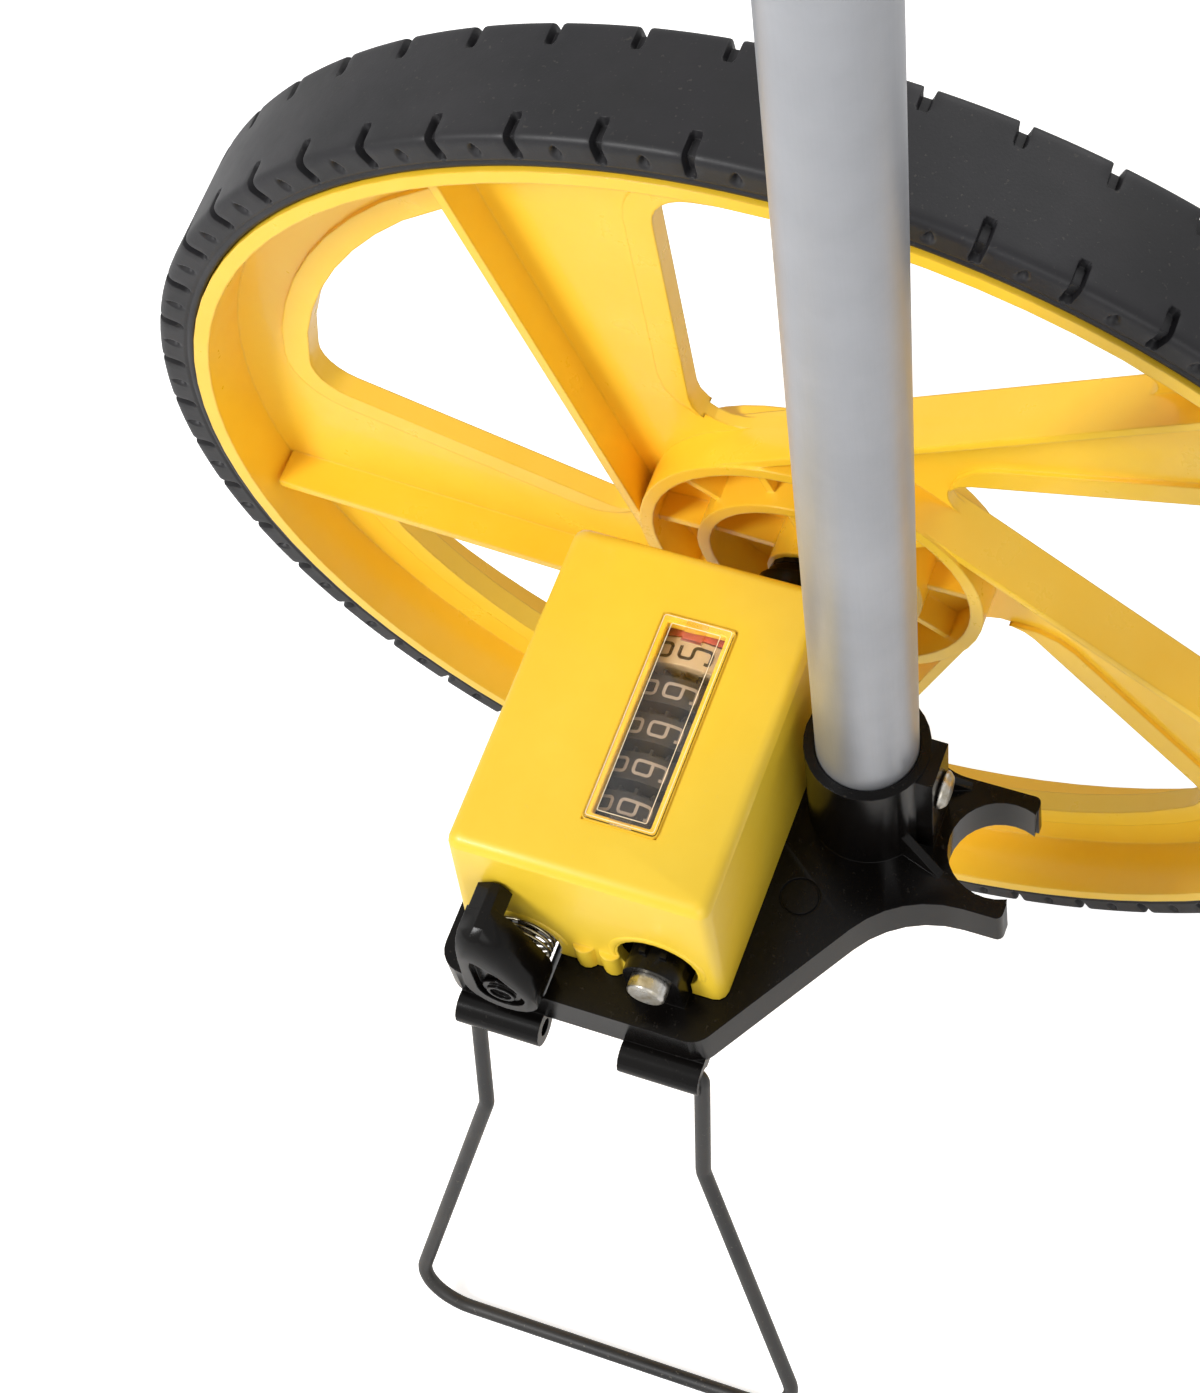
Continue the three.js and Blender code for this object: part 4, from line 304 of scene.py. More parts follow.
def moulded(name, colour, deep, worn_colour, roughness, fineness=2600.0, grain=0.06, wear=0.25,
            dust=0.2, radius=0.0004, coat=0.0, metallic=0.0, roughness_spread=0.08, shine=0.5, mottle=55.0):
    """A moulded or plated skin: mottled colour, worn edges, a little dust, fine grain and rounded corners."""
    material, tree, surface = new_material(name)
    place = node(tree, "TexCoord").outputs["Object"]
    grains = use_group(tree, GRAIN, {"Vector": place, "Fineness": fineness, "Mottle Size": mottle})
    edges = use_group(tree, EDGES, {"Vector": place, "Radius": radius, "Wear": wear})
    dusts = use_group(tree, DUST, {"Vector": place, "Amount": dust})
    body = mixed(tree, grains.outputs["Mottle"], linear(deep), linear(colour))
    rubbed = mixed(tree, edges.outputs["Worn"], body, linear(worn_colour))
    dusty = mixed(tree, dusts.outputs["Dust"], rubbed, DUST_COLOUR)
    tree.links.new(dusty, surface.inputs["Base Color"])
    rough = ramp(tree, grains.outputs["Mottle"], spread=(roughness + roughness_spread, roughness))
    rougher = maths(tree, "ADD", rough, dusts.outputs["Dust"], clamp=True)
    tree.links.new(rougher, surface.inputs["Roughness"])
    bump = node(tree, "Bump", {"Height": grains.outputs["Height"], "Normal": edges.outputs["Normal"],
                               "Strength": grain, "Distance": GRAIN_DEPTH})
    tree.links.new(bump.outputs["Normal"], surface.inputs["Normal"])
    surface.inputs["Coat Weight"].default_value = coat
    surface.inputs["Metallic"].default_value = metallic
    surface.inputs["Specular IOR Level"].default_value = shine
    return material


print("dust colour", [round(value, 3) for value in DUST_COLOUR])

# %% [markdown]
# Each call below gives a finish its colour, the deeper colour of its mottle, the colour of its
# worn corners and its roughness, and then only what differs from a plain moulded skin.

# %% Finishes
WHEEL_YELLOW = moulded("wheel_yellow", (255, 209, 58), (254, 204, 48), (255, 218, 84), 0.26, wear=0.06,
                       dust=0.03, radius=0.0007, coat=0.15, shine=0.42)
COVER_YELLOW = moulded("cover_yellow", (249, 211, 60), (246, 206, 52), (252, 224, 104), 0.34, wear=0.2,
                       dust=0.03, radius=0.0006, coat=0.1)
BLACK_PLASTIC = moulded("black_plastic", (11, 9, 8), (7, 6, 6), (54, 51, 48), 0.17, wear=0.15,
                        dust=0.025, radius=0.0003, shine=0.15, grain=0.03)
DARK_PLASTIC = moulded("dark_plastic", (38, 37, 38), (28, 27, 28), (80, 78, 76), 0.42, wear=0.2,
                       dust=0.1, radius=0.0002)
PALE_PLASTIC = moulded("pale_plastic", (206, 186, 152), (194, 172, 138), (222, 208, 184), 0.42, wear=0.1,
                       dust=0.1, radius=0.0002)
RED_PLASTIC = moulded("red_plastic", (206, 92, 62), (190, 76, 50), (226, 140, 112), 0.4, wear=0.2,
                      dust=0.1, radius=0.0003)
TYRE_RUBBER = moulded("tyre_rubber", (36, 35, 38), (28, 28, 30), (84, 83, 82), 0.4, fineness=1500.0,
                      grain=0.12, wear=0.5, dust=0.05, radius=0.0003, shine=0.3)
GRIP_RUBBER = moulded("grip_rubber", (40, 40, 42), (30, 30, 32), (74, 72, 70), 0.62, fineness=1300.0,
                      grain=0.2, wear=0.3, dust=0.3, radius=0.0004)
STAND_BLACK = moulded("stand_black", (28, 27, 27), (20, 19, 19), (120, 116, 110), 0.34, wear=0.2,
                      dust=0.25, radius=0.0003, grain=0.1)
ZINC_STEEL = moulded("zinc_steel", (206, 204, 200), (142, 132, 108), (236, 234, 230), 0.2, wear=0.3,
                     dust=0.06, radius=0.0003, metallic=1.0, roughness_spread=0.2, mottle=300.0)
SPRING_STEEL = moulded("spring_steel", (188, 180, 152), (160, 150, 122), (220, 214, 196), 0.24, wear=0.0,
                       dust=0.05, radius=0.0001, metallic=1.0)
# Pale cream for the thin lines that paint the highlights along the window's borders.
HIGHLIGHT_CREAM = moulded("highlight_cream", (255, 240, 208), (252, 232, 196), (255, 246, 226), 0.3, wear=0.1,
                     dust=0.0, radius=0.0001)
FIGURE_GREY = moulded("figure_grey", (172, 160, 146), (150, 138, 126), (190, 182, 170), 0.45, wear=0.1,
                      dust=0.05, radius=0.0001)
print("materials with nodes", len([m for m in bpy.data.materials if m.use_nodes]))

# %% [markdown]
# A clear plastic window bends and tints very little. It keeps a plain transmission weight, so
# that what lies behind it shows, and a hint of smoke in its base colour. Most of the lamps'
# light passes straight through it to the drums.

# %% Window plastic
WINDOW_TINT, WINDOW_IOR, WINDOW_MOTTLE = (246, 240, 232), 1.46, 90.0
WINDOW_ROUGHNESS = (0.03, 0.09)
WINDOW_LETS_THROUGH = 0.85
CLEAR_WINDOW, window_tree, window_surface = new_material("clear_window")
window_place = node(window_tree, "TexCoord").outputs["Object"]
window_grain = use_group(window_tree, GRAIN, {"Vector": window_place, "Mottle Size": WINDOW_MOTTLE})
window_rough = ramp(window_tree, window_grain.outputs["Mottle"], spread=WINDOW_ROUGHNESS)
window_tree.links.new(window_rough, window_surface.inputs["Roughness"])
window_surface.inputs["Base Color"].default_value = linear(WINDOW_TINT)
window_surface.inputs["Transmission Weight"].default_value = 1.0
window_surface.inputs["IOR"].default_value = WINDOW_IOR
window_shadow = node(window_tree, "LightPath").outputs["Is Shadow Ray"]
window_alpha = node(window_tree, "Math", {0: window_shadow, 1: -WINDOW_LETS_THROUGH, 2: 1.0},
                    operation="MULTIPLY_ADD")
window_tree.links.new(window_alpha.outputs[0], window_surface.inputs["Alpha"])
print("window", CLEAR_WINDOW.name)

# %% [markdown]
# The handle tube is drawn aluminium, so its finest marks run along it. The marks come from
# noise that is stretched about eighty times along the tube, before it shapes gloss and height.

# %% Drawn tube
TUBE_STRETCH, TUBE_LINE_SCALE, TUBE_BUMP, TUBE_BUMP_DEPTH = (1.0, 1.0, 0.012), 2400.0, 0.05, 0.0001
TUBE_DEEP, TUBE_COLOUR, TUBE_MOTTLE, TUBE_DUST = (166, 168, 173), (178, 180, 185), 30.0, 0.1
TUBE_ROUGHNESS, TUBE_METALLIC = (0.34, 0.46), 0.7
TUBE_SILVER, tube_tree, tube_surface = new_material("tube_silver")
tube_place = node(tube_tree, "TexCoord").outputs["Object"]
tube_map = node(tube_tree, "Mapping", {"Vector": tube_place, "Scale": TUBE_STRETCH})
tube_lines = noise(tube_tree, tube_map.outputs["Vector"], TUBE_LINE_SCALE, detail=3.0)
tube_cloud = use_group(tube_tree, GRAIN, {"Vector": tube_place, "Mottle Size": TUBE_MOTTLE})
tube_dust = use_group(tube_tree, DUST, {"Vector": tube_place, "Amount": TUBE_DUST})
tube_body = mixed(tube_tree, tube_cloud.outputs["Mottle"], linear(TUBE_DEEP), linear(TUBE_COLOUR))
tube_dusty = mixed(tube_tree, tube_dust.outputs["Dust"], tube_body, DUST_COLOUR)
tube_tree.links.new(tube_dusty, tube_surface.inputs["Base Color"])
tube_gloss = ramp(tube_tree, tube_lines, spread=TUBE_ROUGHNESS)
tube_tree.links.new(tube_gloss, tube_surface.inputs["Roughness"])
tube_bump = node(tube_tree, "Bump", {"Height": tube_lines, "Strength": TUBE_BUMP,
                                     "Distance": TUBE_BUMP_DEPTH})
tube_tree.links.new(tube_bump.outputs["Normal"], tube_surface.inputs["Normal"])
tube_surface.inputs["Metallic"].default_value = TUBE_METALLIC
print("tube", TUBE_SILVER.name)

# %% [markdown]
# Every solid first takes the finish of its record slot. The pieces that get a finer shape
# later hide their solid and take the same finish.

# %% Finishes on the solids
FINISH = {
    "wheel_yellow": WHEEL_YELLOW, "cover_yellow": COVER_YELLOW, "tyre_rubber": TYRE_RUBBER,
    "steel": ZINC_STEEL, "spring_steel": SPRING_STEEL, "black_plastic": BLACK_PLASTIC,
    "dark_plastic": DARK_PLASTIC, "pale_plastic": PALE_PLASTIC, "red_plastic": RED_PLASTIC,
    "clear_window": CLEAR_WINDOW, "stand_black": STAND_BLACK, "tube_silver": TUBE_SILVER,
    "grip_rubber": GRIP_RUBBER,
}
SLOT_OF = {row["node"]: row["material_slot"] for row in frame["record"]["subparts"]}
for name, solid in NODES.items():
    solid.data.materials.clear()
    solid.data.materials.append(FINISH[SLOT_OF[name]])
print("dressed", len(SLOT_OF), "solids")

# %% [markdown]
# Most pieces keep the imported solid's form, but a moulded edge is never razor sharp. Each such
# solid is copied, its loose triangles are welded and its flat faces joined, and a Bevel
# modifier turns every sharp edge into a small radius that catches a line of light. The wheel's
# far hub rings are also drawn shorter, because the photo shows none of them between the spokes.

# %% Rounded copies of the solids
BODY_OF = {name: body for body, names in frame["record"]["behaviour"]["bodies"].items() for name in names}
WELD = 0.00001
FLAT_ANGLE = math.radians(0.6)
SHARP_ANGLE = math.radians(32)
HUB_RING_RADII = (0.0101, 0.0428)
FAR_LIP_Y, FAR_HUB_SHARE = -0.0027, 0.3
BEVEL_SEGMENTS = 2


def settle(piece, body, slot, stands_for=()):
    """Dresses a piece in its slot's finish, sets it on its body and hides the solids that it stands for."""
    piece.data.materials.clear()
    piece.data.materials.append(FINISH[slot])
    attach(piece, body)
    if stands_for:
        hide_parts(*stands_for)
    return piece


def change_mesh(mesh, *changes):
    """Opens a mesh, makes one change after another in it and writes it back."""
    shape = bmesh.new()
    shape.from_mesh(mesh)
    for change in changes:
        change(shape)
    shape.to_mesh(mesh)
    shape.free()


def weld(shape):
    """Joins the loose triangles' corners."""
    bmesh.ops.remove_doubles(shape, verts=shape.verts, dist=WELD)


def join_flat_faces(shape):
    """Joins neighbouring triangles that lie in one plane."""
    bmesh.ops.dissolve_limit(shape, angle_limit=FLAT_ANGLE, verts=shape.verts, edges=shape.edges)


def face_outwards(shape):
    """Turns every face of a closed form outwards."""
    bmesh.ops.recalc_face_normals(shape, faces=shape.faces)


def shorten_far_hub(shape):
    """Squashes the hub's far rings: beyond the web's lips, their depth shrinks to a fixed share."""
    for point in shape.verts:
        radius = math.hypot(point.co.x, point.co.z - AXLE_HEIGHT)
        if HUB_RING_RADII[0] < radius < HUB_RING_RADII[1] and point.co.y < FAR_LIP_Y:
            point.co.y = FAR_LIP_Y + (point.co.y - FAR_LIP_Y) * FAR_HUB_SHARE


def rounded_copy(name, width):
    """A welded copy of a solid, whose edges sharper than 32 degrees get a radius of about width, in mm."""
    mesh = NODES[name].data.copy()
    mesh.name = name + "_detail"
    if name == "wheel":
        change_mesh(mesh, weld, shorten_far_hub, join_flat_faces)
    else:
        change_mesh(mesh, weld, join_flat_faces)
    mesh.shade_smooth()
    mesh.set_sharp_from_angle(angle=SHARP_ANGLE)
    piece = bpy.data.objects.new(name + "_detail", mesh)
    bpy.context.scene.collection.objects.link(piece)
    bevel = piece.modifiers.new("moulded_edges", "BEVEL")
    bevel.width = width * MM
    bevel.segments = BEVEL_SEGMENTS
    bevel.limit_method = "ANGLE"
    bevel.angle_limit = SHARP_ANGLE
    bevel.use_clamp_overlap = True
    bevel.harden_normals = True
    return settle(piece, BODY_OF[name], SLOT_OF[name], (name,))


ROUNDED = {
    "wheel": 0.5, "bracket": 0.5, "counter_cover": 0.5, "reset_lever": 0.6, "lever_screw": 0.2,
    "axle": 0.3, "hub_nut": 0.4, "socket_screw": 0.3, "axle_bush": 0.3, "lower_knuckle": 0.5,
    "upper_knuckle": 0.5, "lock_button": 0.5, "grip_cap": 0.6, "fold_pin": 0.3, "reset_shaft": 0.2,
    "digit_drum_1": 0.2, "digit_drum_2": 0.2, "digit_drum_3": 0.2, "digit_drum_4": 0.2,
    "digit_drum_5": 0.2, "input_gear": 0.2,
}
rounded_pieces = {name: rounded_copy(name, width) for name, width in ROUNDED.items()}
print("rounded", {name: len(piece.data.polygons) for name, piece in rounded_pieces.items()})

# %% [markdown]
# The other pieces are surfaces worked out as whole arrays: a grid of points in millimetres,
# with the axle at height nought, and the four-sided faces between neighbours on the grid.


# %% Arrays to pieces
def grid_faces(rows, columns, closed):
    """Faces between neighbouring points of a grid. Each row is a ring, and closed rows join round as well."""
    row = np.arange(rows if closed else rows - 1)[:, None]
    column = np.arange(columns)[None, :]
    next_row, next_column = (row + 1) % rows, (column + 1) % columns
    corners = [row * columns + column, row * columns + next_column,
               next_row * columns + next_column, next_row * columns + column]
    return np.stack(np.broadcast_arrays(*corners), axis=-1).reshape(-1, 4)


def end_caps(rows, columns):
    """The first and the last ring of a grid as two closing faces."""
    return np.arange(columns)[None, :] + np.array([[0], [(rows - 1) * columns]])


def array_piece(name, points, faces, body, slot, stands_for=(), caps=(), sharp=SHARP_ANGLE):
    """A piece from points in mm about the axle and index faces; each cap is one face over a whole ring."""
    mesh = bpy.data.meshes.new(name)
    places = np.asarray(points, float).reshape(-1, 3) * MM + (0, 0, AXLE_HEIGHT)
    mesh.from_pydata(places.tolist(), [], [*faces.tolist(), *np.asarray(caps, int).tolist()])
    mesh.update()
    change_mesh(mesh, face_outwards)
    mesh.shade_smooth()
    mesh.set_sharp_from_angle(angle=sharp)
    piece = bpy.data.objects.new(name, mesh)
    bpy.context.scene.collection.objects.link(piece)
    return settle(piece, body, slot, stands_for)


def grid_piece(name, grid, closed, body, slot, stands_for=(), sharp=SHARP_ANGLE):
    """A grid of rings as one piece: closed, its last ring joins its first; open, both ends are capped."""
    rows, columns = grid.shape[:2]
    caps = () if closed else end_caps(rows, columns)
    return array_piece(name, grid, grid_faces(rows, columns, closed), body, slot, stands_for, caps, sharp)


print("faces of a closed grid of 3 by 4 points", len(grid_faces(3, 4, True)))

# %% [markdown]
# Wires and outlines follow a route of points, with an arc at every bend. A wire is a ring of
# points carried along its route, and a smooth ramp shapes the cuts and flutes.


# %% Routes, rings and ramps
def rounded_route(corners, bends, steps, closed=False):
    """The corners joined by straight runs, with an arc of the given radius in place of each bent one."""
    corners = np.asarray(corners, float)
    route = []
    for index, (corner, bend) in enumerate(zip(corners, bends)):
        if bend == 0 or (not closed and index in (0, len(corners) - 1)):
            route.append(corner[None])
            continue
        back = corners[index - 1] - corner
        ahead = corners[(index + 1) % len(corners)] - corner
        back, ahead = back / np.linalg.norm(back), ahead / np.linalg.norm(ahead)
        half = math.acos(float(np.clip(back @ ahead, -1, 1))) / 2
        middle = (back + ahead) / np.linalg.norm(back + ahead)
        centre = corner + middle * bend / math.sin(half)
        share = np.linspace(-1, 1, steps)[:, None] * (math.pi / 2 - half)
        across = (ahead - back) / np.linalg.norm(ahead - back)
        route.append(centre - middle * bend * np.cos(share) + across * bend * np.sin(share))
    return np.concatenate(route)


def tube_points(route, normals, radius, sides):
    """A ring about each point of a route.

    Ring = point + radius x (cosine x normal + sine x cross of tangent and normal).
    """
    tangents = np.gradient(route, axis=0)
    tangents /= np.linalg.norm(tangents, axis=1, keepdims=True)
    normals = normals - (normals * tangents).sum(1, keepdims=True) * tangents
    normals /= np.linalg.norm(normals, axis=1, keepdims=True)
    others = np.cross(tangents, normals)
    angle = np.arange(sides) * TURN / sides
    rings = np.cos(angle)[None, :, None] * normals[:, None] + np.sin(angle)[None, :, None] * others[:, None]
    return route[:, None] + radius * rings


def soft_step(value):
    """Nought below nought, one above one, and a smooth ramp between."""
    value = np.clip(value, 0, 1)
    return value * value * (3 - 2 * value)


print("points of a route with one bend", len(rounded_route([(0, 0), (2, 0), (2, 2)], [0, 0.5, 0], 6)))

# %% [markdown]
# The tyre is a solid rubber band with fifty-two lugs. Long rounded slots run over each
# shoulder and notch the outline, and a drop-shaped dimple sits between every two. Both are a
# depth taken off the section along its own normal, so one grid holds the whole tyre. The table
# gives y and radius from the seat to the middle of the tread, and its mirror is the other half.

# %% Tyre section and lug lines
TYRE_OUTER = 159.155
TYRE_SEAT = 150.05
LUG_COUNT = 52
LUG_PHASE_DEG = 3.0
SLOT_HALF_WIDTH = 1.15
SLOT_DEPTH = 1.9
SLOT_EDGE = 0.55
DIMPLE_HALF_WIDTH = 1.35
DIMPLE_HALF_LENGTH = 2.3
DIMPLE_DEPTH = 1.3
SLOT_LOW_RADIUS, SLOT_TREAD_RADIUS, SLOT_INNER_Y = 154.2, 157.0, 9.6
DIMPLE_MIDDLE_RADIUS, DIMPLE_SIDE_Y, DIMPLE_LEAST_Y = 155.4, 14.4, 9.0
DIMPLE_TAPER, DIMPLE_NARROWEST, DIMPLE_WIDEST, DIMPLE_SLOPE = 2.2, 0.25, 1.3, 1.2
PATTERN_LOW_RADIUS, SEAT_BAND, TREAD_SHARP_DEG = 152.6, 0.4, 50
SECTION = np.array([
    (14.15, 150.05), (14.55, 150.35), (14.68, 150.9), (14.7, 151.5), (14.45, 151.8), (14.45, 152.05),
    (14.7, 152.35), (14.7, 152.9), (14.7, 153.4), (14.7, 153.9), (14.7, 154.4), (14.7, 154.9),
    (14.7, 155.4), (14.7, 155.9), (14.7, 156.4), (14.69, 156.9), (14.64, 157.4), (14.52, 157.85),
    (14.32, 158.25), (14.03, 158.6), (13.65, 158.87), (13.2, 159.04), (12.7, 159.12), (12.1, 159.15),
    (11.4, 159.155), (10.7, 159.155), (10.0, 159.155), (9.4, 159.155), (8.8, 159.155), (8.2, 159.155),
    (7.5, 159.155), (5.0, 159.155), (2.5, 159.155), (0.0, 159.155),
])
mirrored_section = SECTION[::-1][1:] * (-1, 1)
section = np.concatenate([SECTION, mirrored_section])
seat_row = np.array([(y, TYRE_SEAT) for y in (-9.0, -3.0, 3.0, 9.0)])
section = np.concatenate([section, seat_row])

lug_pitch = TURN * TYRE_OUTER / LUG_COUNT
near_slot = np.array([-1.75, -1.35, -1.1, -0.85, -0.55, 0.0, 0.55, 0.85, 1.1, 1.35, 1.75])
near_dimple = lug_pitch / 2 + np.array([-1.7, -1.3, -0.95, -0.6, -0.3, 0.0, 0.3, 0.6, 0.95, 1.3, 1.7])
between = np.array([3.4, 5.6, 12.6, 15.4])
along = np.sort(np.concatenate([near_slot, near_dimple, between]))
lug_starts = np.arange(LUG_COUNT)[:, None] * lug_pitch
arc = (lug_starts + along[None, :]).ravel()
offset = np.tile(along, LUG_COUNT)
print("tyre section points", len(section), "lug pitch", round(lug_pitch, 2))

# %% [markdown]
# A slot is a band of even width that runs over the shoulder and fades out down the side. A
# dimple is an oval that narrows as it climbs to the tread. Where both reach, the deeper counts.


# %% Tyre tread
def tread_depth(offset, place):
    """How deep each point is cut, from its distance along a lug and its place (y, r) on the section.

    Slot = full depth where the distance to the slot's middle line is under its half width.
    Dimple = full depth inside an oval: (sideways / half width) squared + (climb / half length) squared < 1.
    """
    y, r = np.abs(place[:, 0])[None, :], place[:, 1][None, :]
    tangential = np.minimum(np.abs(offset), np.abs(offset - lug_pitch))[:, None]
    beyond_side = np.maximum(SLOT_LOW_RADIUS - r, 0)
    beyond_tread = np.where(r > SLOT_TREAD_RADIUS, np.maximum(SLOT_INNER_Y - y, 0), 0)
    away = np.sqrt(tangential ** 2 + beyond_side ** 2 + beyond_tread ** 2)
    slot = SLOT_DEPTH * soft_step((SLOT_HALF_WIDTH - away) / SLOT_EDGE + 0.5)
    from_dimple = np.abs(offset - lug_pitch / 2)[:, None]
    climb = (r - DIMPLE_MIDDLE_RADIUS) + np.maximum(DIMPLE_SIDE_Y - y, 0)
    taper = np.clip(1 - climb / (DIMPLE_TAPER * DIMPLE_HALF_LENGTH), DIMPLE_NARROWEST, DIMPLE_WIDEST)
    inside = np.sqrt((from_dimple / (DIMPLE_HALF_WIDTH * taper)) ** 2 + (climb / DIMPLE_HALF_LENGTH) ** 2)
    dimple = DIMPLE_DEPTH * soft_step(DIMPLE_SLOPE * (1 - inside)) * (y > DIMPLE_LEAST_Y)
    return np.maximum(slot, dimple) * (r > PATTERN_LOW_RADIUS)


section_slope = np.gradient(section, axis=0)
section_out = np.stack([section_slope[:, 1], -section_slope[:, 0]], axis=1)
section_out /= np.linalg.norm(section_out, axis=1, keepdims=True)
section_out[np.abs(section[:, 1] - TYRE_SEAT) < SEAT_BAND] = 0
depth = tread_depth(offset, section)
tyre_y = section[None, :, 0] - depth * section_out[None, :, 0]
tyre_r = section[None, :, 1] - depth * section_out[None, :, 1]
tyre_angle = (arc / TYRE_OUTER + math.radians(LUG_PHASE_DEG))[:, None]
tyre_points = np.stack([tyre_r * np.cos(tyre_angle), tyre_y, tyre_r * np.sin(tyre_angle)], axis=-1)
tyre = grid_piece("tyre_tread", tyre_points, True, "wheel", "tyre_rubber", ("tyre",),
                  math.radians(TREAD_SHARP_DEG))
print("tyre faces", len(tyre.data.polygons), "radii", tyre_r.min().round(2), tyre_r.max().round(2))

# %% [markdown]
# The wire stand is one rod carried along a flat route, with an arc at every bend. Its plane
# leans out from the bracket, and the plane's own normal keeps the rings from twisting.

# %% Wire stand
STAND_Y, STAND_Z, STAND_WIRE, STAND_REACH, STAND_SPLAY = 125.5, -26.5, 1.83, 1.86, math.radians(15.5)
STAND_BEND_STEPS, STAND_SIDES = 14, 20
stand_length = (TYRE_OUTER + STAND_Z - STAND_REACH) / math.cos(STAND_SPLAY)
stand_plan = [(27, 0), (42, 0), (42, 38), (68, stand_length),
              (-38, stand_length), (-12, 38), (-12, 0), (3, 0)]
stand_bends = [0, 3, 10, 12, 12, 10, 3, 0]
flat_route = rounded_route(stand_plan, stand_bends, STAND_BEND_STEPS)
stand_out, stand_down = math.sin(STAND_SPLAY), math.cos(STAND_SPLAY)
stand_route = np.stack([flat_route[:, 0], STAND_Y + flat_route[:, 1] * stand_out,
                        STAND_Z - flat_route[:, 1] * stand_down], axis=1)
stand_normal = np.broadcast_to((0.0, stand_down, stand_out), stand_route.shape)
stand_points = tube_points(stand_route, stand_normal, STAND_WIRE, STAND_SIDES)
stand = grid_piece("wire_stand", stand_points, False, "stand", "stand_black", ("kickstand",))
print("stand faces", len(stand.data.polygons))

# %% [markdown]
# The handle tubes are turned shapes: a closed wall profile spun round an axis that leans a
# little back from upright. Ninety-six sides keep their outline smooth.

# %% Handle tubes
HANDLE_BASE = (-29.85, 58.9, -11.0)
HANDLE_LEAN = math.radians(2.12)
TUBE_INNER, TUBE_OUTER, TUBE_EDGE, TUBE_SIDES = 9.97, 11.17, 0.25, 96
LOWER_TUBE_ENDS = (0.3, 357.4)


def on_handle(radius, height, sides):
    """Radius and height spun round the handle's axis, which leans back by a fixed angle in X and Z."""
    angle = np.arange(sides) * TURN / sides
    across, side = radius * np.cos(angle), radius * np.sin(angle)
    lean_cos, lean_sin = math.cos(HANDLE_LEAN), math.sin(HANDLE_LEAN)
    places = np.broadcast_arrays(HANDLE_BASE[0] + across * lean_cos - height * lean_sin,
                                 HANDLE_BASE[1] + side,
                                 HANDLE_BASE[2] + across * lean_sin + height * lean_cos)
    return np.stack(places, axis=-1)


def tube_profile(low, high):
    """A pipe wall's outline from low to high, with its four corners cut by a small slant."""
    inner, outer, slant = TUBE_INNER, TUBE_OUTER, TUBE_EDGE
    return np.array([
        (outer - slant, low), (outer, low + slant), (outer, high - slant), (outer - slant, high),
        (inner + slant, high), (inner, high - slant), (inner, low + slant), (inner + slant, low),
    ])


def tube_ends(name):
    """Heights along the leaning axis where a tube's box ends, less what the tilted end faces add."""
    lowest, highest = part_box(name)
    tilt = TUBE_OUTER * math.sin(HANDLE_LEAN)
    return [((place.z - AXLE_HEIGHT) / MM - HANDLE_BASE[2] + rise) / math.cos(HANDLE_LEAN)
            for place, rise in ((lowest, tilt), (highest, -tilt))]


for name, (low, high) in (("lower_tube", LOWER_TUBE_ENDS), ("upper_tube", tube_ends("upper_tube"))):
    tube_wall = tube_profile(low, high)
    tube_grid = on_handle(tube_wall[:, :1], tube_wall[:, 1:], TUBE_SIDES)
    grid_piece(name + "_drawn", tube_grid, True, BODY_OF[name], "tube_silver", (name,))
    print(name, round(low, 2), round(high, 2))

# %% [markdown]
# The grip is a rubber sleeve with four ring grooves. Shallow flutes run along it between the
# grooves, and both ends taper to the tube.

# %% Grip
GRIP_LOW, GRIP_HIGH, GRIP_RADIUS, GRIP_BORE = 753.0, 871.0, 15.5, 11.47
GROOVE_COUNT, GROOVE_DEPTH, GROOVE_HALF = 4, 1.2, 1.7
FLUTE_COUNT, FLUTE_DEPTH, FLUTE_OFFSET, FLUTE_SOFTNESS = 24, 0.4, 0.2, 0.9
FLUTE_GAP, FLUTE_RAMP, FLUTE_START, FLUTE_FADE = 2.4, 1.5, 6.0, 3.0
TAPER_LENGTH, TAPER_DEPTH, GRIP_ROWS, GRIP_SIDES = 5.9, 2.0, 170, 144

grip_height = np.linspace(GRIP_LOW, GRIP_HIGH, GRIP_ROWS)[:, None]
from_end = np.minimum(grip_height - GRIP_LOW, GRIP_HIGH - grip_height)
groove_places = GRIP_LOW + (GRIP_HIGH - GRIP_LOW) * np.arange(1, GROOVE_COUNT + 1) / (GROOVE_COUNT + 1)
from_groove = np.abs(grip_height - groove_places[None, :]).min(axis=1, keepdims=True)
grip_angle = np.arange(GRIP_SIDES)[None, :] * TURN / GRIP_SIDES
flutes = (soft_step((np.cos(grip_angle * FLUTE_COUNT) + FLUTE_OFFSET) / FLUTE_SOFTNESS)
          * soft_step((from_groove - FLUTE_GAP) / FLUTE_RAMP)
          * soft_step((from_end - FLUTE_START) / FLUTE_FADE))
grip_radius = (GRIP_RADIUS - TAPER_DEPTH * (1 - soft_step(from_end / TAPER_LENGTH))
               - GROOVE_DEPTH * soft_step(1 - from_groove / GROOVE_HALF) - FLUTE_DEPTH * flutes)
bore_row = np.full((1, GRIP_SIDES), GRIP_BORE)
grip_radius = np.concatenate([bore_row, grip_radius, bore_row])
grip_height = np.concatenate([grip_height[:1], grip_height, grip_height[-1:]])
grip_grid = on_handle(grip_radius, grip_height, GRIP_SIDES)
grip = grid_piece("grip_sleeve", grip_grid, True, "upper_handle", "grip_rubber", ("grip",))
print("grip faces", len(grip.data.polygons))

# %% [markdown]
# A helix of fine bright wire returns the lever. It starts and ends in a short straight leg.

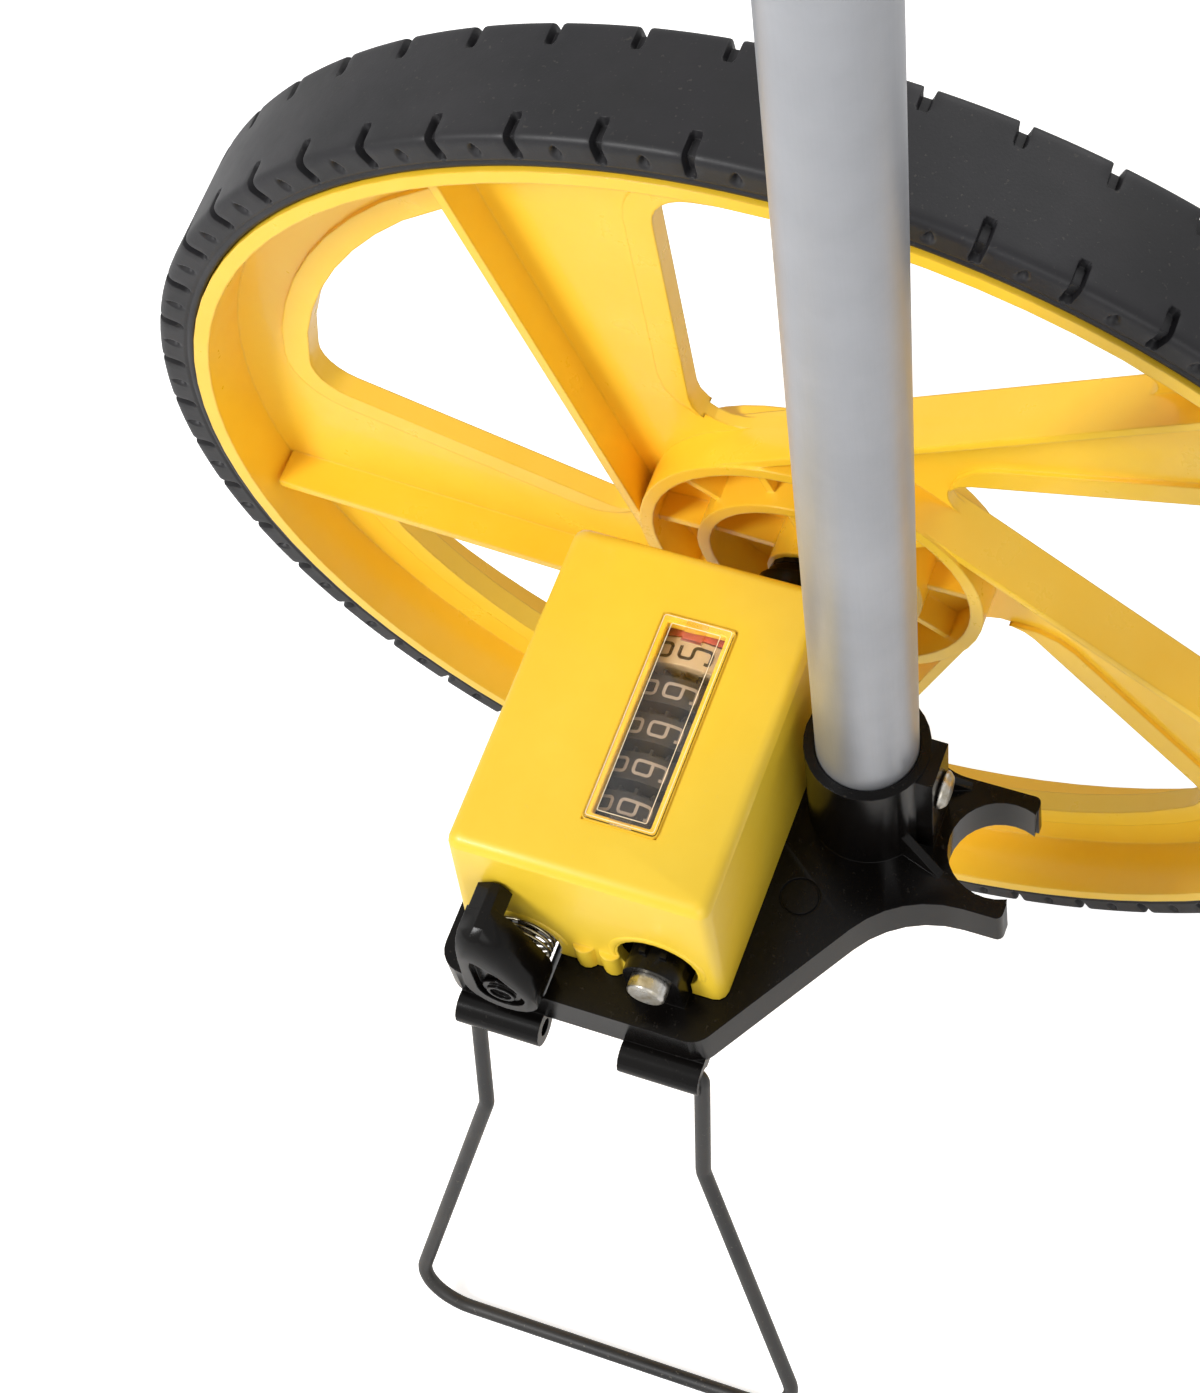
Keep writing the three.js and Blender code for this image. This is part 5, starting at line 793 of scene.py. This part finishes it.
# %% Reset spring
SPRING_X, SPRING_Z, SPRING_RADIUS, SPRING_WIRE = 32.2, -6.9, 6.8, 0.4
SPRING_TURNS, SPRING_PITCH, SPRING_START, SPRING_LEG, LEG_START = 4, 1.26, 110.6, 1.2, 0.4
STEPS_PER_TURN, LEG_POINTS, SPRING_SIDES = 28, 5, 12
coil = np.linspace(0, SPRING_TURNS * TURN, SPRING_TURNS * STEPS_PER_TURN + 1)
coil_points = np.stack([SPRING_RADIUS * np.cos(coil), SPRING_START + SPRING_PITCH * coil / TURN,
                        SPRING_RADIUS * np.sin(coil)], axis=1)
leg_places = np.linspace(LEG_START, SPRING_LEG, LEG_POINTS)[:, None] * (0, 0, 1)
spring_route = np.concatenate([coil_points[0] - leg_places[::-1], coil_points, coil_points[-1] + leg_places])
leg_normal = np.tile((1.0, 0, 0), (LEG_POINTS, 1))
spring_normal = np.concatenate([leg_normal, coil_points * (1, 0, 1), leg_normal])
spring_points = tube_points(spring_route, spring_normal, SPRING_WIRE, SPRING_SIDES) + (SPRING_X, 0, SPRING_Z)
spring = grid_piece("reset_spring_coil", spring_points, False, "reset", "spring_steel", ("reset_spring",))
print("spring faces", len(spring.data.polygons))

# %% [markdown]
# Each drum shows figures from nought to nine, drawn with one even stroke and rounded corners.
# A figure is a route in a small box, from nought to one each way, and closed where marked so.

# %% Figure strokes
DRUM_X, DRUM_Z, DRUM_RADIUS, DRUM_PITCH, FIRST_DRUM = 11.0, 15.2, 13.8, 9.45, 53.05
FIGURE_WIDTH, FIGURE_HEIGHT, STROKE, FIGURE_BEND = 3.1, 6.75, 0.68, 0.8
FIGURE_STEP, BEND_STEPS, BEND_ROOM_SHARE = 0.2, 7, 2.2
RIBBON_SUNK, RIBBON_RAISED = 0.15, 0.05
SHOWN = (5, 9, 9, 9, 9)
SHOWN_TILT = math.radians(-6.2)
FIGURES = {
    0: [([(0, 0), (1, 0), (1, 1), (0, 1)], True)],
    1: [([(0.25, 0.78), (0.6, 1), (0.6, 0)], False)],
    2: [([(0, 0.8), (0, 1), (1, 1), (1, 0.55), (0, 0.35), (0, 0), (1, 0)], False)],
    3: [([(0, 1), (1, 1), (1, 0.54), (0.35, 0.54)], False),
        ([(0.5, 0.54), (1, 0.54), (1, 0), (0, 0)], False)],
    4: [([(0.72, 0), (0.72, 1), (0, 0.3), (1, 0.3)], False)],
    5: [([(0.95, 1), (0.05, 1), (0.05, 0.58), (1, 0.58), (1, 0), (0, 0), (0, 0.16)], False)],
    6: [([(1, 0.86), (1, 1), (0, 1), (0, 0), (1, 0), (1, 0.55), (0, 0.55)], False)],
    7: [([(0, 1), (1, 1), (0.4, 0)], False)],
    8: [([(0, 0), (1, 0), (1, 0.55), (0, 0.55)], True),
        ([(0.06, 0.55), (0.94, 0.55), (0.94, 1), (0.06, 1)], True)],
    9: [([(1, 0.45), (0, 0.45), (0, 1), (1, 1), (1, 0), (0, 0), (0, 0.14)], False)],
}


def evenly(line, closed, step):
    """The same line with points at even steps: its coordinates read off against its running length."""
    if closed:
        line = np.concatenate([line, line[:1]])
    run = np.concatenate([[0], np.cumsum(np.linalg.norm(np.diff(line, axis=0), axis=1))])
    places = np.linspace(0, run[-1], max(int(run[-1] / step), 2) + 1)
    if closed:
        places = places[:-1]
    return np.stack([np.interp(places, run, line[:, axis]) for axis in range(line.shape[1])], axis=1)


def figure_ribbon(corners, closed):
    """A stroke's centre line and its side direction at each point, in mm on the flat label."""
    box_corners = (np.array(corners, float) - 0.5) * (FIGURE_WIDTH, FIGURE_HEIGHT)
    to_last = np.linalg.norm(box_corners - np.roll(box_corners, 1, 0), axis=1)
    room = np.minimum(to_last, np.roll(to_last, -1)) / BEND_ROOM_SHARE
    bends = np.minimum(FIGURE_BEND, room)
    if not closed:
        bends[[0, -1]] = 0
    line = evenly(rounded_route(box_corners, bends, BEND_STEPS, closed), closed, FIGURE_STEP)
    if closed:
        slope = np.roll(line, -1, 0) - np.roll(line, 1, 0)
    else:
        slope = np.gradient(line, axis=0)
    slope /= np.linalg.norm(slope, axis=1, keepdims=True)
    return line, np.stack([-slope[:, 1], slope[:, 0]], axis=1)


print("figures", len(FIGURES), "points in nought", len(figure_ribbon(*FIGURES[0][0])[0]))

# %% [markdown]
# Each route becomes a thin raised ribbon, and the ribbon is wrapped round its drum. Figures
# grow towards +X, so rolling forward counts up.


# %% Figures on the drums
def figure_on_drum(corners, closed, angle, drum_y):
    """A ribbon on a drum: label height becomes an angle about the drum's shaft, label width runs along -Y."""
    line, side = figure_ribbon(corners, closed)
    half = STROKE / 2
    edges = np.stack([line - side * half, line + side * half, line + side * half, line - side * half], axis=1)
    lift = np.array([-RIBBON_SUNK, -RIBBON_SUNK, RIBBON_RAISED, RIBBON_RAISED])[None, :]
    turned = angle + edges[..., 1] / DRUM_RADIUS
    radius = DRUM_RADIUS + lift
    return np.stack([DRUM_X + radius * np.sin(turned), drum_y - edges[..., 0],
                     DRUM_Z + radius * np.cos(turned)], axis=-1)


def drum_figures(index, shown):
    """All ten figures of one drum as one piece, the shown one just behind the top."""
    blocks, faces, caps, count = [], [], [], 0
    drum_y = FIRST_DRUM + DRUM_PITCH * index
    for figure, strokes in FIGURES.items():
        angle = SHOWN_TILT + (figure - shown) * TURN / len(FIGURES)
        for corners, closed in strokes:
            block = figure_on_drum(corners, closed, angle, drum_y)
            faces.append(grid_faces(*block.shape[:2], closed) + count)
            if not closed:
                caps.append(end_caps(*block.shape[:2]) + count)
            blocks.append(block.reshape(-1, 3))
            count += block.shape[0] * block.shape[1]
    slot = "dark_plastic" if index == 0 else "pale_plastic"
    piece = array_piece(f"drum_figures_{index + 1}", np.concatenate(blocks), np.concatenate(faces),
                        f"drum_{index + 1}", slot, caps=np.concatenate(caps))
    if slot == "pale_plastic":
        piece.data.materials[0] = FIGURE_GREY
    return piece


figures = [drum_figures(index, shown) for index, shown in enumerate(SHOWN)]
print("figure faces", [len(piece.data.polygons) for piece in figures])

# %% [markdown]
# The window is a clear plate on a yellow ledge inside the box. Both are rings of a rounded
# rectangle, each ring with its own size and its own drop below the window's top.

# %% Window plate and ledge
LENS_X, LENS_Y, LENS_TOP, CORNER_STEPS = 10.35, 72.2, 33.5, 6
LENS_ROWS = (
    (8.2, 25.3, 0.9, 1.2), (8.2, 25.3, 0.9, 0.5), (8.05, 25.15, 0.8, 0.15), (7.7, 24.8, 0.6, 0),
)
LEDGE_ROWS = (
    (8.28, 25.38, 1.0, 0.6), (8.55, 25.65, 1.1, 0.6), (8.55, 25.65, 1.1, 4.2), (6.75, 23.85, 0.5, 4.2),
    (6.6, 23.7, 0.5, 4.05), (6.6, 23.7, 0.5, 1.45), (6.75, 23.85, 0.5, 1.3), (8.28, 25.38, 1.0, 1.3),
)


def rectangles(rows, along=0.0):
    """Rounded rectangles as the rings of one grid: half width, half length, corner radius and drop."""
    rings = []
    for half_x, half_y, bend, drop in rows:
        corners = [(half_x, half_y), (-half_x, half_y), (-half_x, -half_y), (half_x, -half_y)]
        ring = rounded_route(corners, [bend] * 4, CORNER_STEPS, True) + (LENS_X, LENS_Y + along)
        rings.append(np.column_stack([ring, np.full(len(ring), LENS_TOP - drop)]))
    return np.stack(rings)


lens = grid_piece("window_plate", rectangles(LENS_ROWS), False, "frame", "clear_window", ("window_lens",))
ledge = grid_piece("window_ledge", rectangles(LEDGE_ROWS), True, "frame", "wheel_yellow")
print("window faces", len(lens.data.polygons), "ledge faces", len(ledge.data.polygons))

# %% [markdown]
# The window's two moulded borders catch the light in thin bright lines, painted here as raised
# cream strips: a painted highlight. A small clear tongue at each end holds the window down.

# %% Window tongues and painted highlight lines
TAB_HALF, TAB_BEND, TAB_RISE, TAB_SLANT = 2.5, 0.3, 0.1, 0.15
LINE_HALF_WIDTH, LINE_RISE = 0.09, 0.05


def window_tab(name, along, half):
    """A thin clear tongue on one end of the window: three rounded rings, the topmost a little smaller."""
    rings = rectangles(((TAB_HALF, half, TAB_BEND, TAB_RISE), (TAB_HALF, half, TAB_BEND, -TAB_RISE),
                        (TAB_HALF - TAB_SLANT, half - TAB_SLANT, TAB_BEND, -2 * TAB_RISE)), along)
    return grid_piece(name, rings, False, "frame", "clear_window")


def window_highlight_line(name, half_x, half_y, bend):
    """A painted highlight on the window: a fine raised cream line round a rounded rectangle, square in
    section.
    """
    route = rectangles(((half_x, half_y, bend, 0),))[0]
    tangent = np.roll(route, -1, 0) - np.roll(route, 1, 0)
    tangent /= np.linalg.norm(tangent, axis=1, keepdims=True)
    side = np.cross(tangent, (0, 0, 1.0)) * LINE_HALF_WIDTH
    rise = np.array([0, 0, LINE_RISE])
    corners = [route + side + rise, route - side + rise, route - side - rise, route + side - rise]
    line = grid_piece(name, np.stack(corners, axis=1), True, "frame", "pale_plastic")
    line.data.materials[0] = HIGHLIGHT_CREAM
    return line


tabs = [window_tab("window_tab_far", along=-22.4, half=2.6),
        window_tab("window_tab_near", along=24.3, half=0.9)]
# Painted highlights: two cream lines where the window's borders catch the light.
lines = [window_highlight_line("window_inner_highlight", half_x=5.6, half_y=23.2, bend=0.3),
         window_highlight_line("window_outer_highlight", half_x=7.75, half_y=24.85, bend=0.6)]
print("tongues", len(tabs), "lines", len(lines))

# %% [markdown]
# Where the lever's flange and the axle come through the box, its near face swells into a
# soft lip. Each lip is part of a ring whose section is a flattened round, sunk into the face.


# %% Lips on the box
FACE_Y, FACE_FOOT_Z, FACE_SLOPE = 113.2, -11, 1.9 / 43.4
LIP_STEPS, LIP_SIDES, LIP_END_POWER, LIP_SINK = 40, 16, 0.25, 0.1


def face_lip(name, x, z, ring_radius, from_deg, to_deg, rise, width):
    """Part of a flattened ring on the box's near face: angle round the hole by angle round the section."""
    turn = np.radians(np.linspace(from_deg, to_deg, LIP_STEPS))[:, None]
    around = np.linspace(0, TURN, LIP_SIDES, endpoint=False)[None, :]
    along = np.clip((turn - turn[0]) / (turn[-1] - turn[0]), 0, 1)
    ends = np.sin(along * math.pi) ** LIP_END_POWER
    reach = ring_radius + width * np.cos(around) * ends
    place_x, place_z = x + reach * np.cos(turn), z + reach * np.sin(turn)
    face_y = FACE_Y - (place_z - FACE_FOOT_Z) * FACE_SLOPE
    place_y = face_y + rise * np.sin(around) * ends - LIP_SINK
    grid = np.stack([place_x, place_y, place_z], axis=-1)
    return grid_piece(name, grid, False, "frame", "cover_yellow")


lips = [
    face_lip("box_lip_lever", SPRING_X, SPRING_Z, ring_radius=10.4,
             from_deg=10, to_deg=172, rise=0.5, width=1.2),
    face_lip("box_lip_axle", 0, 0, ring_radius=10.6,
             from_deg=-20, to_deg=196, rise=0.4, width=1.1),
]
print("lips", len(lips))

# %% [markdown]
# Last, the scene is brought up to date and shown through the standard display curve.

# %% Update and display
bpy.context.view_layer.update()
bpy.context.scene.view_settings.view_transform = "Standard"
